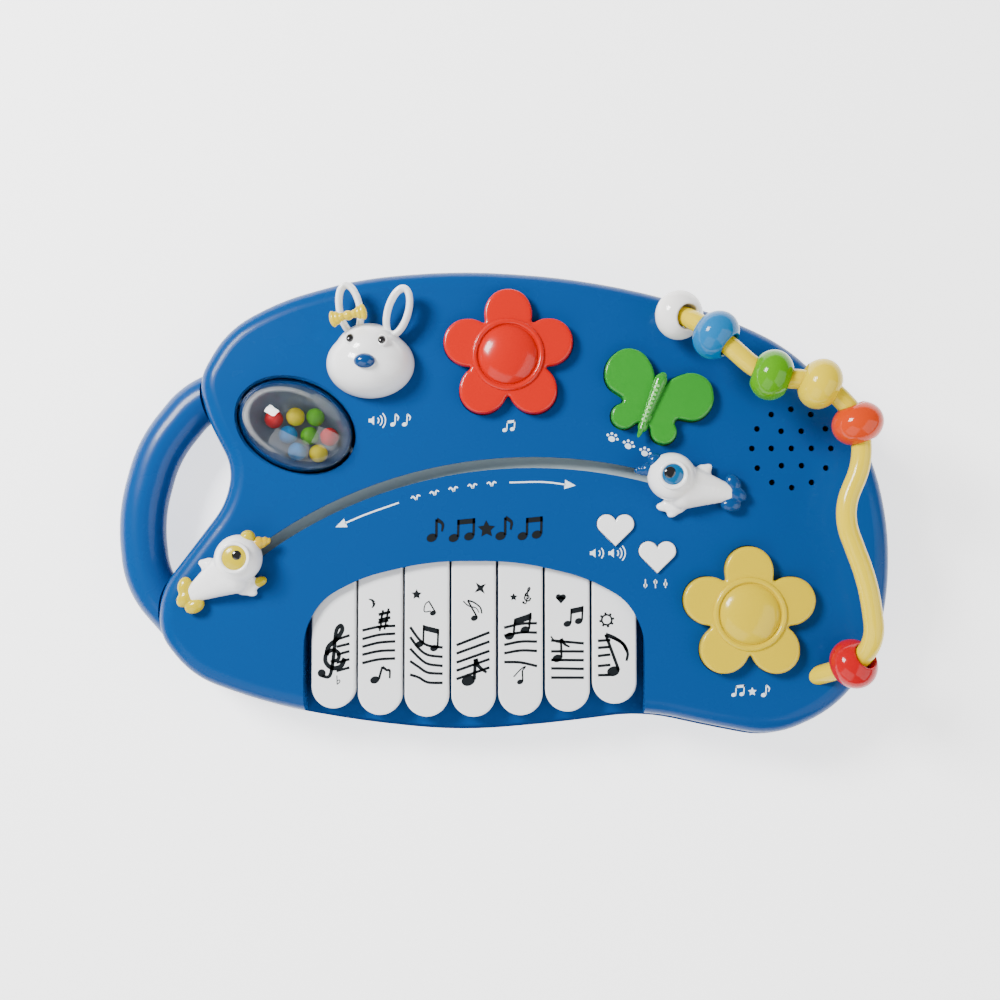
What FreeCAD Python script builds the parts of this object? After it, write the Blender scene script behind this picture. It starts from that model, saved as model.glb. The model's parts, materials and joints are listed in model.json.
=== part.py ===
import FreeCAD, Part
import math
import os

from FreeCAD import Placement, Rotation, Vector

# Toy electronic keyboard. Millimetres, +Z up. The origin is the middle of the footprint, on the
# surface that the rubber feet stand on. +X runs along the row of keys, +Y away from the player.

DRIVING = {
    # housing
    "foot_height": 2.0,
    "seam_height": 20.0,
    "panel_height": 42.0,
    "wall": 2.4,
    "lip": 2.2,
    "panel_rounding": 9.0,
    "base_rounding": 6.0,
    # handle
    "handle_middle": 19.0,
    "handle_width": 24.0,
    "handle_thickness": 22.0,
    # keys
    "key_pitch": 23.6,
    "key_gap": 1.3,
    "key_top": 38.2,
    "key_skirt": 30.2,
    "key_skin": 2.0,
    "bed_height": 26.0,
    "axle_radius": 1.5,
    "axle_height": 33.0,
    # buttons
    "button_gap": 0.6,
    "flower_edge_height": 48.0,
    "flower_dome_height": 54.0,
    "heart_top": 44.0,
    "butterfly_top": 47.5,
    # slide track of the birds
    "track_radius": 232.75,
    "track_slot": 5.6,
    "shoe_width": 9.0,
    # beads
    "rod_radius": 4.75,
    "bead_radius": 12.0,
    "bead_half_length": 9.6,
    "bead_bore_radius": 5.6,
    # rattle drum
    "drum_half_length": 31.0,
    "drum_radius": 22.5,
    "drum_wall": 1.8,
    "drum_axis_height": 37.0,
    "drum_pin_radius": 2.0,
    "ball_radius": 4.9,
    # rabbit
    "head_half_width": 22.5,
    "head_half_depth": 19.0,
    "head_height": 21.0,
    "plunger_radius": 6.0,
    # electrics
    "board_thickness": 1.6,
    "main_board_height": 12.0,
    "button_board_height": 27.0,
    "battery_radius": 7.1,
    "battery_length": 50.5,
    "speaker_radius": 25.0,
    "grille_hole_radius": 1.5,
    "screw_radius": 1.5,
}

doc = FreeCAD.newDocument("toy_keyboard")
dim = doc.addObject("Spreadsheet::Sheet", "dim")
for row, (alias, value) in enumerate(DRIVING.items(), start=1):
    dim.set(f"A{row}", alias)
    dim.set(f"B{row}", str(value))
    dim.setAlias(f"B{row}", alias)
doc.recompute()
size = {alias: float(dim.get(alias)) for alias in DRIVING}

PANEL = size["panel_height"]
CEILING = PANEL - size["wall"]
SEAM = size["seam_height"]
UNDERSIDE = size["foot_height"]
FLOOR = UNDERSIDE + size["wall"]
PANEL_EXPR = "dim.panel_height"
CEILING_EXPR = "dim.panel_height - dim.wall"

nodes = []


# ---------------------------------------------------------------------------- building blocks

def is_formula(value):
    """Text that names a cell of the sheet is an expression."""
    return isinstance(value, str) and "dim." in value


def make(kind, name, at=(0, 0, 0), turn=None, **sizes):
    """Add an object. A size or coordinate may be an expression of the sheet's cells."""
    item = doc.addObject(kind, name)
    fixed = [0 if is_formula(value) else value for value in at]
    item.Placement = Placement(Vector(*fixed), turn or Rotation())
    for letter, value in zip("xyz", at):
        if is_formula(value):
            item.setExpression(f"Placement.Base.{letter}", value)
    for key, value in sizes.items():
        if is_formula(value):
            item.setExpression(key, value)
        else:
            setattr(item, key, value)
    return item


def difference(low, high):
    """high - low, as a number or as an expression."""
    if is_formula(low) or is_formula(high):
        return f"({high}) - ({low})"
    return high - low


def box(name, low, high):
    spans = [difference(a, b) for a, b in zip(low, high)]
    return make("Part::Box", name, at=low, Length=spans[0], Width=spans[1], Height=spans[2])


def upright(name, x, y, low, high, radius):
    """A cylinder along Z."""
    return make("Part::Cylinder", name, at=(x, y, low), Radius=radius, Height=difference(low, high))


def cylinder(name, start, end, radius):
    """A cylinder between two points."""
    start, end = Vector(*start), Vector(*end)
    turn = Rotation(Vector(0, 0, 1), end - start)
    return make("Part::Cylinder", name, at=tuple(start), turn=turn, Radius=radius,
                Height=(end - start).Length)


def ellipsoid(name, at, half_x, half_y, half_z, turn=None):
    """Radius1 is the half size along the turned Z, Radius2 along X and Radius3 along Y."""
    return make("Part::Ellipsoid", name, at=at, turn=turn, Radius1=half_z, Radius2=half_x,
                Radius3=half_y)


def ball(name, at, radius):
    return make("Part::Sphere", name, at=at, Radius=radius)


def capsule(name, at, axis, half_long, radius):
    """A round bar with half-ball ends, centred at a point."""
    straight = half_long - radius
    diagonal = radius * math.sqrt(0.5)
    profile = Part.Wire([
        arc((0, 0, -half_long), (diagonal, 0, -straight - diagonal), (radius, 0, -straight)),
        line((radius, 0, -straight), (radius, 0, straight)),
        arc((radius, 0, straight), (diagonal, 0, straight + diagonal), (0, 0, half_long)),
        line((0, 0, half_long), (0, 0, -half_long)),
    ])
    item = make("Part::Revolution", name, Source=outline(f"{name}_profile", profile),
                Axis=Vector(0, 0, 1), Base=Vector(), Angle=360.0, Solid=True)
    item.Placement = Placement(Vector(*at), Rotation(Vector(0, 0, 1), Vector(*axis)))
    return item


def outline(name, wire):
    item = doc.addObject("Part::Feature", name)
    item.Shape = wire
    return item


def prism(name, base, height):
    """Extrude a closed outline upwards."""
    return make("Part::Extrusion", name, Base=base, DirMode="Custom", Dir=Vector(0, 0, 1),
                Solid=True, LengthFwd=height)


def fuse(name, parts):
    return make("Part::MultiFuse", name, Shapes=list(parts), Refine=False)


def cut(name, base, tools):
    tools = list(tools)
    tool = tools[0] if len(tools) == 1 else fuse(f"{name}_tool", tools)
    return make("Part::Cut", name, Base=base, Tool=tool, Refine=False)


def common(name, base, tool):
    return make("Part::Common", name, Base=base, Tool=tool, Refine=False)


def rounded(name, base, radius, height):
    """Fillet every edge that lies wholly at one height."""
    doc.recompute()
    chosen = []
    for number, edge in enumerate(base.Shape.Edges, start=1):
        bounds = edge.BoundBox
        if abs(bounds.ZMin - height) < 0.01 and abs(bounds.ZMax - height) < 0.01:
            chosen.append((number, radius, radius))
    item = make("Part::Fillet", name, Base=base)
    item.Edges = chosen
    return item


def node(name, item):
    """Give a finished sub-part its name."""
    item.Label = name
    nodes.append(item)
    return item


def corner_arc(before, corner, after, share):
    """The arc that rounds a corner and takes up a share of the shorter run beside it."""
    back = before - corner
    ahead = after - corner
    turn = math.pi - back.getAngle(ahead)
    reach = share * min(back.Length, ahead.Length)
    radius = reach / math.tan(turn / 2)
    first = corner + back.normalize() * reach
    last = corner + ahead.normalize() * reach
    bisector = (back + ahead).normalize()
    centre = corner + bisector * (radius / math.cos(turn / 2))
    normal = (first - centre).cross(last - centre).normalize()
    return {"centre": centre, "radius": radius, "middle": centre - bisector * radius,
            "first": first, "last": last, "normal": normal, "half_turn": turn / 2}


def round_loop(points, z, grow=0.0):
    """A closed outline of tangent arcs and short lines through every point, anticlockwise.

    grow moves the whole outline outwards, or inwards where it is negative."""
    wanted = [Vector(x, y, z) for x, y in points]
    corners = list(wanted)
    count = len(corners)
    for _ in range(8):
        arcs = [corner_arc(corners[k - 1], corners[k], corners[(k + 1) % count], 0.47)
                for k in range(count)]
        corners = [corner + target - bend["middle"]
                   for corner, target, bend in zip(corners, wanted, arcs)]
    arcs = [corner_arc(corners[k - 1], corners[k], corners[(k + 1) % count], 0.47)
            for k in range(count)]
    spots = []
    for bend in arcs:
        outward = grow / bend["radius"] * (1 if bend["normal"].z > 0 else -1)
        spots.append([bend[place] + (bend[place] - bend["centre"]) * outward
                      for place in ("first", "middle", "last")])
    edges = []
    for k, (first, middle, last) in enumerate(spots):
        edges.append(Part.Arc(first, middle, last).toShape())
        edges.append(Part.LineSegment(last, spots[(k + 1) % count][0]).toShape())
    return Part.Wire(edges)


def line(a, b):
    return Part.LineSegment(Vector(*a), Vector(*b)).toShape()


def arc(a, middle, b):
    return Part.Arc(Vector(*a), Vector(*middle), Vector(*b)).toShape()


# ---------------------------------------------------------------------------- housing shells

# Edge of the seam lip, anticlockwise from the top left corner.
LIP_POINTS = [
    (-140, 88), (-155, 62), (-151, 41), (-140, 16), (-143, -1), (-160, -25), (-173, -45),
    (-174, -68), (-156, -90), (-118, -104.5), (-72, -113), (-20, -117.3), (31, -113.6),
    (73, -109.6), (108, -115.6), (138, -119), (168, -106), (188, -82), (197, -50),
    (198, -15), (191, 19), (175, 50), (148, 78), (110, 97), (72, 108.6), (31, 116),
    (-20, 119.3), (-72, 115.3), (-113, 104),
]

SCREW_PLACES = [(-158, -62), (-130, 76), (-25, 100), (60, 95), (182, -28), (112, -99), (-113, -88)]
FOOT_PLACES = [(-146, -70), (-117, 84), (20, 98), (158, 48), (146, -94), (-20, -99)]
FOOT_RADIUS = 7.0
FOOT_RECESS = 1.0
BOSS_RADIUS = 4.0
BOSS_SPLIT = 19.6

# Well of the keys: the panel edge is an arch over the keys, open towards the player.
WELL_LEFT = -98.0
WELL_RIGHT = 73.0
WELL_REAR = -22.4
WELL_SKIN = 1.6
WELL_FRONT = -130.0
ARCH_MIDDLE = (WELL_LEFT + WELL_RIGHT) / 2
ARCH_CORNERS = [(-85.5, WELL_FRONT), (-85.5, -66), (-76.5, -50), (-56, -39), (-22, -31)]

# The birds' slide track is an arc about this point.
TRACK_CENTRE = Vector(16.8, -214.1, 0)
TRACK_LEFT_DEG = 131.4
TRACK_RIGHT_DEG = 70.0
LEFT_BIRD_DEG = 130.5
RIGHT_BIRD_DEG = 70.8

GRILLE = (146.8, 25.4)
GRILLE_RINGS = [(0.0, 1), (10.0, 6), (19.7, 12)]

RED_FLOWER = (5.0, 72.3)
YELLOW_FLOWER = (124.6, -57.2)
BUTTERFLY = (76.9, 47.7)
BUTTERFLY_TURN = -21.9
VOLUME_HEART = (58.7, -15.4)
TONE_HEART = (79.5, -28.9)

RABBIT = (-64.7, 70.2)
DRUM = (-103.0, 37.7)
DRUM_TURN = -23.6
DRUM_OPENING = (32.2, 24.1)


def track_point(radius, degrees, z):
    angle = math.radians(degrees)
    return tuple(TRACK_CENTRE + Vector(radius * math.cos(angle), radius * math.sin(angle), z))


def track_band(half_width, left, right, z):
    """A band along the track's arc with round ends."""
    middle = (left + right) / 2
    inner = size["track_radius"] - half_width
    outer = size["track_radius"] + half_width
    end_angle = math.degrees(half_width / size["track_radius"])
    return Part.Wire([
        arc(track_point(inner, left, z), track_point(inner, middle, z),
            track_point(inner, right, z)),
        arc(track_point(inner, right, z), track_point(size["track_radius"], right - end_angle, z),
            track_point(outer, right, z)),
        arc(track_point(outer, right, z), track_point(outer, middle, z),
            track_point(outer, left, z)),
        arc(track_point(outer, left, z), track_point(size["track_radius"], left + end_angle, z),
            track_point(inner, left, z)),
    ])


def petal_places(middle, reach=22.0, count=5):
    """Centres of a flower's petals, the first one pointing away from the player."""
    angles = [math.radians(90 + 360 * k / count) for k in range(count)]
    return [(middle[0] + reach * math.cos(a), middle[1] + reach * math.sin(a)) for a in angles]


def flower_solid(name, middle, low, high, grow):
    """Five round petals about a round middle, larger all round by grow."""
    discs = [upright(f"{name}_middle", *middle, low, high, 17.5 + grow)]
    for k, place in enumerate(petal_places(middle), start=1):
        discs.append(upright(f"{name}_petal_{k}", *place, low, high, 11.5 + grow))
    flower = fuse(name, discs)
    flower.Refine = True
    return flower


BUTTERFLY_HALF = [
    (0, 9), (5.5, 16), (14, 22), (23, 20.5), (28.3, 11), (24.5, 1), (14, -3.6), (17, -9.5),
    (14.5, -16), (7.5, -16.5), (3, -11.5),
]


def butterfly_wire(grow, z):
    """Both wings, mirrored about the body, larger all round by grow."""
    half = BUTTERFLY_HALF
    whole = [(-x, y) for x, y in half] + [(0, -11)] + [(x, y) for x, y in reversed(half[1:])]
    angle = math.radians(BUTTERFLY_TURN)
    placed = []
    for x, y in whole:
        placed.append((BUTTERFLY[0] + x * math.cos(angle) - y * math.sin(angle),
                       BUTTERFLY[1] + x * math.sin(angle) + y * math.cos(angle)))
    return round_loop(placed, z, grow)


def heart_wire(middle, grow, z):
    """Two round lobes that run straight down to a point."""
    lobe_x = 4.5
    lobe_y = 3.0
    lobe = 4.75 + grow
    tip = -8.1 - 1.4 * grow
    reach = math.hypot(lobe_x, lobe_y - tip)
    toward_tip = math.atan2(tip - lobe_y, -lobe_x)
    touch = toward_tip + math.acos(lobe / reach)
    dip = lobe_y + math.sqrt(lobe ** 2 - lobe_x ** 2)

    def at(x, y):
        return (middle[0] + x, middle[1] + y, z)

    touch_x = lobe_x + lobe * math.cos(touch)
    touch_y = lobe_y + lobe * math.sin(touch)
    top_x = lobe_x + lobe * math.cos(math.radians(50))
    top_y = lobe_y + lobe * math.sin(math.radians(50))
    return Part.Wire([
        line(at(0, tip), at(touch_x, touch_y)),
        arc(at(touch_x, touch_y), at(top_x, top_y), at(0, dip)),
        arc(at(0, dip), at(-top_x, top_y), at(-touch_x, touch_y)),
        line(at(-touch_x, touch_y), at(0, tip)),
    ])


def drum_frame(along, across, up):
    """A point in the drum's own frame: along its axis, across it, and up."""
    angle = math.radians(DRUM_TURN)
    return (DRUM[0] + along * math.cos(angle) - across * math.sin(angle),
            DRUM[1] + along * math.sin(angle) + across * math.cos(angle),
            size["drum_axis_height"] + up)


def drum_opening_wire(z):
    ellipse = Part.Ellipse(Vector(0, 0, 0), DRUM_OPENING[0], DRUM_OPENING[1])
    wire = Part.Wire(ellipse.toShape())
    wire.Placement = Placement(Vector(DRUM[0], DRUM[1], z), Rotation(Vector(0, 0, 1), DRUM_TURN))
    return wire


def rounded_route(points):
    """Straight runs joined by the largest tangent arcs that leave a tenth of each run straight."""
    points = [Vector(*p) for p in points]
    bends = [corner_arc(*three, 0.45) for three in zip(points, points[1:], points[2:])]
    edges = []
    start = points[0]
    for bend in bends:
        edges.append(Part.LineSegment(start, bend["first"]).toShape())
        edges.append(Part.Arc(bend["first"], bend["middle"], bend["last"]).toShape())
        start = bend["last"]
    edges.append(Part.LineSegment(start, points[-1]).toShape())
    return edges, bends


ROD_ROUTE = [
    (81, 94.5, 34), (92, 89.5, 61.5), (107, 76.5, 73), (128, 56.5, 75.5), (155, 54.5, 78.5),
    (172, 37, 76.5), (174, 16, 75), (163.5, -8, 75), (176, -42, 74.5), (180, -68, 71),
    (174, -81, 58), (154, -90.2, 34),
]


def top_shell():
    wall_line = outline("top_wall_line", round_loop(LIP_POINTS, SEAM, -size["lip"]))
    outside = rounded("top_outside", prism("top_block", wall_line,
                      difference("dim.seam_height", PANEL_EXPR)), size["panel_rounding"], PANEL)
    tongue_depth = 2.5
    tongue_base = SEAM - tongue_depth
    tongue_line = outline("tongue_line", round_loop(LIP_POINTS, tongue_base, -size["wall"] - 0.2))
    tongue = prism("tongue_block", tongue_line, tongue_depth)
    cavity_line = outline("top_cavity_line",
                          round_loop(LIP_POINTS, tongue_base, -size["lip"] - size["wall"]))
    cavity = rounded("top_cavity", prism("top_cavity_block", cavity_line,
                     difference(tongue_base, CEILING_EXPR)),
                     size["panel_rounding"] - size["wall"], CEILING)
    skin = cut("top_skin", fuse("top_solid", [outside, tongue]), [cavity])

    # key box: floor, side walls and rear wall under the panel
    keybox = common("key_box",
                    box("key_box_block",
                        (WELL_LEFT - size["wall"], WELL_FRONT, "dim.bed_height - dim.wall"),
                        (WELL_RIGHT + size["wall"], WELL_REAR + WELL_SKIN, PANEL_EXPR)), outside)

    bosses = []
    for k, (x, y) in enumerate(SCREW_PLACES, start=1):
        bosses.append(upright(f"top_boss_{k}", x, y, BOSS_SPLIT, CEILING_EXPR, BOSS_RADIUS))
    for k, (x, y) in enumerate(BOARD_POSTS, start=1):
        bosses.append(upright(f"board_post_{k}", x, y, "dim.button_board_height + dim.board_thickness",
                              CEILING_EXPR, 2.2))
    sockets = [upright(f"rod_socket_{k}", x, y, 34.6, CEILING_EXPR, 9.0)
               for k, (x, y, _) in enumerate((ROD_ROUTE[0], ROD_ROUTE[-1]), start=1)]
    socket_pair = common("rod_sockets", fuse("rod_socket_blocks", sockets), outside)
    body = fuse("top_body", [skin, keybox, socket_pair] + bosses)

    # openings
    left_side = [(ARCH_MIDDLE + x, y, size["bed_height"]) for x, y in ARCH_CORNERS]
    right_side = [(ARCH_MIDDLE - x, y, size["bed_height"]) for x, y in reversed(ARCH_CORNERS)]
    arch_edges, _ = rounded_route(left_side + right_side)
    well_wire = Part.Wire(arch_edges + [line(right_side[-1], left_side[0])])
    tools = [
        prism("well_opening", outline("well_line", well_wire), 30.0),
        box("key_room", (WELL_LEFT, WELL_FRONT, "dim.bed_height"), (WELL_RIGHT, WELL_REAR, CEILING_EXPR)),
        box("heart_room", (46.0, -41.0, 36.0), (94.0, -17.0, CEILING_EXPR)),
        prism("slot_opening", outline("slot_line", track_band(size["track_slot"] / 2, TRACK_LEFT_DEG,
              TRACK_RIGHT_DEG, CEILING - 1)), 8.0),
        prism("drum_opening", outline("drum_line", drum_opening_wire(CEILING - 1)), 8.0),
        flower_solid("red_opening", RED_FLOWER, CEILING - 1, PANEL + 1, size["button_gap"]),
        flower_solid("yellow_opening", YELLOW_FLOWER, CEILING - 1, PANEL + 1, size["button_gap"]),
        prism("butterfly_opening", outline("butterfly_line", butterfly_wire(size["button_gap"],
              CEILING - 1)), 8.0),
        prism("volume_opening", outline("volume_line", heart_wire(VOLUME_HEART, size["button_gap"] / 2,
              CEILING - 1)), 8.0),
        prism("tone_opening", outline("tone_line", heart_wire(TONE_HEART, size["button_gap"] / 2,
              CEILING - 1)), 8.0),
        upright("plunger_opening", *RABBIT, CEILING - 1, PANEL + 1, "dim.plunger_radius + 0.4"),
        make("Part::Cylinder", "axle_hole", at=(WELL_LEFT - 4, AXLE_Y, "dim.axle_height"),
             turn=Rotation(Vector(0, 1, 0), 90), Radius="dim.axle_radius + 0.02",
             Height=WELL_RIGHT - WELL_LEFT + 8),
    ]
    for end, nearby in ((ROD_ROUTE[0], ROD_ROUTE[1]), (ROD_ROUTE[-1], ROD_ROUTE[-2])):
        tools.append(cylinder(f"rod_hole_{len(tools)}", end, nearby, size["rod_radius"] + 0.15))
    for reach, count in GRILLE_RINGS:
        for k in range(count):
            angle = 2 * math.pi * k / count
            tools.append(upright(f"grille_hole_{count}_{k}", GRILLE[0] + reach * math.cos(angle),
                                 GRILLE[1] + reach * math.sin(angle), CEILING - 1, PANEL + 1,
                                 "dim.grille_hole_radius"))
    for k in range(KEY_COUNT):
        tools.append(upright(f"bed_hole_{k + 1}", key_middle(k), PLUNGER_Y,
                             "dim.bed_height - dim.wall - 1", "dim.bed_height + 1", 4.0))
    for k, (x, y) in enumerate(SCREW_PLACES, start=1):
        tools.append(upright(f"top_screw_hole_{k}", x, y, BOSS_SPLIT - 1, 32.0,
                             "dim.screw_radius + 0.02"))
    return node("top_shell", cut("top_shell", body, tools))


# ---------------------------------------------------------------------------- keys

KEY_COUNT = 7
FIRST_KEY_X = -83.45
KEY_FRONTS = [-105.2, -108.4, -109.2, -109.2, -108.3, -106.4, -102.4]
AXLE_Y = -26.4
PLUNGER_Y = -62.0
DOME_TOP = 20.4
KEY_NECK_Y = -29.8
KEY_NECK = 18.8


def key_middle(index):
    return FIRST_KEY_X + index * size["key_pitch"]


def key_outline(index, inset, z):
    """Plan of one key: a half-round front, straight sides and a narrower neck at the rear."""
    middle = key_middle(index)
    half = (size["key_pitch"] - size["key_gap"]) / 2 - inset
    neck = KEY_NECK / 2 - inset
    front = KEY_FRONTS[index] + inset
    shoulder = front + half
    rear = AXLE_Y - inset
    neck_y = KEY_NECK_Y - inset
    return Part.Wire([
        arc((middle - half, shoulder, z), (middle, front, z), (middle + half, shoulder, z)),
        line((middle + half, shoulder, z), (middle + half, neck_y, z)),
        line((middle + half, neck_y, z), (middle + neck, neck_y, z)),
        line((middle + neck, neck_y, z), (middle + neck, rear, z)),
        line((middle + neck, rear, z), (middle - neck, rear, z)),
        line((middle - neck, rear, z), (middle - neck, neck_y, z)),
        line((middle - neck, neck_y, z), (middle - half, neck_y, z)),
        line((middle - half, neck_y, z), (middle - half, shoulder, z)),
    ])


def key(index):
    """A hollow key with a hub for the axle and a stem that reaches down to its rubber dome."""
    name = f"key_{index + 1}"
    middle = key_middle(index)
    block = prism(f"{name}_block", outline(f"{name}_plan", key_outline(index, 0, size["key_skirt"])),
                  difference("dim.key_skirt", "dim.key_top"))
    cap = rounded(f"{name}_cap", block, 1.2, size["key_top"])
    hollow_wire = key_outline(index, size["key_skin"], size["key_skirt"] - 1)
    hollow = prism(f"{name}_hollow", outline(f"{name}_hollow_plan", hollow_wire),
                   "dim.key_top - dim.key_skirt - dim.key_skin + 1")
    shell = cut(f"{name}_shell", cap, [hollow])
    along_x = Rotation(Vector(0, 1, 0), 90)
    hub = make("Part::Cylinder", f"{name}_hub", at=(middle - KEY_NECK / 2, AXLE_Y, "dim.axle_height"),
               turn=along_x, Radius=3.2, Height=KEY_NECK)
    bore = make("Part::Cylinder", f"{name}_bore",
                at=(middle - size["key_pitch"], AXLE_Y, "dim.axle_height"), turn=along_x,
                Radius="dim.axle_radius + 0.06", Height="2 * dim.key_pitch")
    stem = upright(f"{name}_stem", middle, PLUNGER_Y, DOME_TOP + 0.2, "dim.key_top - 1", 2.6)
    whole = fuse(f"{name}_whole", [shell, hub, stem])
    return node(name, cut(name, whole, [bore]))


def key_axle():
    reach = WELL_RIGHT - WELL_LEFT + 2 * size["wall"]
    return node("key_axle", make("Part::Cylinder", "key_axle",
                at=(WELL_LEFT - size["wall"], AXLE_Y, "dim.axle_height"),
                turn=Rotation(Vector(0, 1, 0), 90), Radius="dim.axle_radius", Height=reach))


# ---------------------------------------------------------------------------- lower housing

BATTERY_BOX = {"left": -48.0, "right": 8.0, "front": 18.0, "rear": 68.0, "top": 19.0}
DOOR_RIGHT = 16.0
DOOR_SCREW = (12.0, 43.0)
BOX_SKIN = 2.0
DOOR_THICKNESS = 2.2
DOOR_GAP = 0.3
SWITCH = (52.0, 30.0)
HANDLE_PEGS = [((-160, 52, 12), (-140, 46, 12)), ((-182, -46, 12), (-160, -52, 12))]
HANDLE_ROUTE = [(-138, 60), (-159, 52), (-179, 27), (-188, -8), (-184, -42), (-164, -64)]
BOARD = {"left": -96.0, "right": 71.0, "front": -101.0, "rear": -28.0}
BOARD_TOP = size["main_board_height"] + size["board_thickness"]
MAIN_POSTS = [(-90.0, -95.0), (64.0, -95.0), (-90.0, -38.0), (64.0, -38.0)]
BOARD_POSTS = [(-34, 72.3), (44, 72.3), (40, 47.7), (114.5, 47.7), (86, -57.2), (164, -57.2),
               (45.4, -9), (94, -13)]


def bottom_shell():
    lip_line = outline("lip_line_bottom", round_loop(LIP_POINTS, UNDERSIDE))
    outside = rounded("bottom_outside", prism("bottom_block", lip_line,
                      difference("dim.foot_height", "dim.seam_height")),
                      size["base_rounding"], UNDERSIDE)
    inner_line = outline("bottom_inner_line", round_loop(LIP_POINTS, FLOOR, -size["wall"]))
    cavity = prism("bottom_cavity", inner_line, "dim.seam_height - dim.foot_height")
    skin = cut("bottom_skin", outside, [cavity])

    b = BATTERY_BOX
    parts = [skin, box("battery_block", (b["left"] - BOX_SKIN, b["front"] - BOX_SKIN, UNDERSIDE),
                       (DOOR_RIGHT + BOX_SKIN, b["rear"] + BOX_SKIN, b["top"] + BOX_SKIN))]
    for k, (x, y) in enumerate(SCREW_PLACES, start=1):
        parts.append(upright(f"bottom_boss_{k}", x, y, UNDERSIDE + 0.5, BOSS_SPLIT, BOSS_RADIUS + 0.6))
    for k, (x, y) in enumerate(MAIN_POSTS, start=1):
        parts.append(upright(f"main_post_{k}", x, y, UNDERSIDE + 0.5, "dim.main_board_height", 3.2))
    body = fuse("bottom_body", parts)

    tools = [
        box("door_recess", (b["left"], b["front"], UNDERSIDE - 1),
            (DOOR_RIGHT, b["rear"], UNDERSIDE + DOOR_THICKNESS)),
        box("battery_room", (b["left"], b["front"], UNDERSIDE), (b["right"], b["rear"], b["top"])),
        upright("door_screw_hole", *DOOR_SCREW, UNDERSIDE, 13.0, "dim.screw_radius + 0.02"),
        box("switch_slot", (SWITCH[0] - 5, SWITCH[1] - 2.8, UNDERSIDE - 1),
            (SWITCH[0] + 5, SWITCH[1] + 2.8, FLOOR + 1)),
    ]
    for k, (x, y) in enumerate(SCREW_PLACES, start=1):
        tools.append(upright(f"screw_recess_{k}", x, y, UNDERSIDE - 1, 8.0, 3.3))
        tools.append(upright(f"screw_way_{k}", x, y, 7.0, BOSS_SPLIT + 1, "dim.screw_radius + 0.1"))
    for k, (x, y) in enumerate(MAIN_POSTS, start=1):
        tools.append(upright(f"main_post_hole_{k}", x, y, 6.0, 13.0, 1.02))
    for k, (x, y) in enumerate(FOOT_PLACES, start=1):
        tools.append(upright(f"foot_recess_{k}", x, y, UNDERSIDE - 1, UNDERSIDE + FOOT_RECESS,
                             FOOT_RADIUS + 0.1))
    for k, (start, end) in enumerate(HANDLE_PEGS, start=1):
        tools.append(cylinder(f"peg_hole_{k}", start, end, 4.05))
    return node("bottom_shell", cut("bottom_shell", body, tools))


def rubber_feet():
    feet = [upright(f"foot_{k}", x, y, 0, UNDERSIDE + FOOT_RECESS, FOOT_RADIUS)
            for k, (x, y) in enumerate(FOOT_PLACES, start=1)]
    return node("rubber_feet", make("Part::Compound", "rubber_feet", Links=feet))


def screws(name, places, face, way, length, radius, head_radius):
    """A group of upright screws with cross recesses. way is +1 where the points look up."""
    head_height = 1.4
    made = []
    for k, (x, y) in enumerate(places, start=1):
        under = face + way * head_height
        low, high = sorted((face, under))
        head = upright(f"{name}_head_{k}", x, y, low, high, head_radius)
        low, high = sorted((under, under + way * length))
        shaft = upright(f"{name}_shaft_{k}", x, y, low, high, radius)
        low, high = sorted((face - way, face + way * 0.9))
        arm = 0.6 * head_radius
        bars = [box(f"{name}_slot_{k}", (x - arm, y - 0.4, low), (x + arm, y + 0.4, high)),
                box(f"{name}_cross_{k}", (x - 0.4, y - arm, low), (x + 0.4, y + arm, high))]
        made.append(cut(f"{name}_{k}", fuse(f"{name}_blank_{k}", [head, shaft]), bars))
    return node(name, make("Part::Compound", name, Links=made))


def carry_handle():
    """A rounded loop from the top left of the body to its lower left, held by two pegs."""
    middle = size["handle_middle"]
    edges, _ = rounded_route([(x, y, middle) for x, y in HANDLE_ROUTE])
    spine = outline("handle_route", Part.Wire(edges))
    start = Vector(*HANDLE_ROUTE[0], middle)
    ahead = Vector(*HANDLE_ROUTE[1], middle) - start
    section = Part.Wire(Part.Ellipse(Vector(0, 0, 0), size["handle_width"] / 2,
                                     size["handle_thickness"] / 2).toShape())
    section.Placement = Placement(start, Rotation(Vector(-ahead.y, ahead.x, 0), Vector(0, 0, 1),
                                                  ahead, "ZXY"))
    loop = make("Part::Sweep", "handle_loop", Sections=[outline("handle_section", section)],
                Spine=(spine, [f"Edge{k}" for k in range(1, len(edges) + 1)]), Solid=True,
                Frenet=False)
    body_block = prism("handle_trim", outline("lip_line_handle", round_loop(LIP_POINTS, UNDERSIDE - 2)),
                       PANEL)
    trimmed = cut("handle_trimmed", loop, [body_block])
    pegs = [cylinder(f"handle_peg_{k}", a, b, 4.0) for k, (a, b) in enumerate(HANDLE_PEGS, start=1)]
    return node("carry_handle", fuse("carry_handle", [trimmed] + pegs))


def battery_door():
    b = BATTERY_BOX
    low = (b["left"] + DOOR_GAP, b["front"] + DOOR_GAP, UNDERSIDE)
    high = (DOOR_RIGHT - DOOR_GAP, b["rear"] - DOOR_GAP, UNDERSIDE + DOOR_THICKNESS)
    plate = box("door_plate", low, high)
    tools = [upright("door_counterbore", *DOOR_SCREW, UNDERSIDE - 1, UNDERSIDE + 1.6, 3.2),
             upright("door_hole", *DOOR_SCREW, UNDERSIDE - 1, UNDERSIDE + 4, 1.7)]
    for k in range(5):
        x = b["left"] + 5 + 3 * k
        tools.append(box(f"door_grip_{k}", (x, 30.0, UNDERSIDE - 1), (x + 1.5, 56.0, UNDERSIDE + 0.7)))
    return node("battery_door", cut("battery_door", plate, tools))


# ---------------------------------------------------------------------------- electrics

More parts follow.
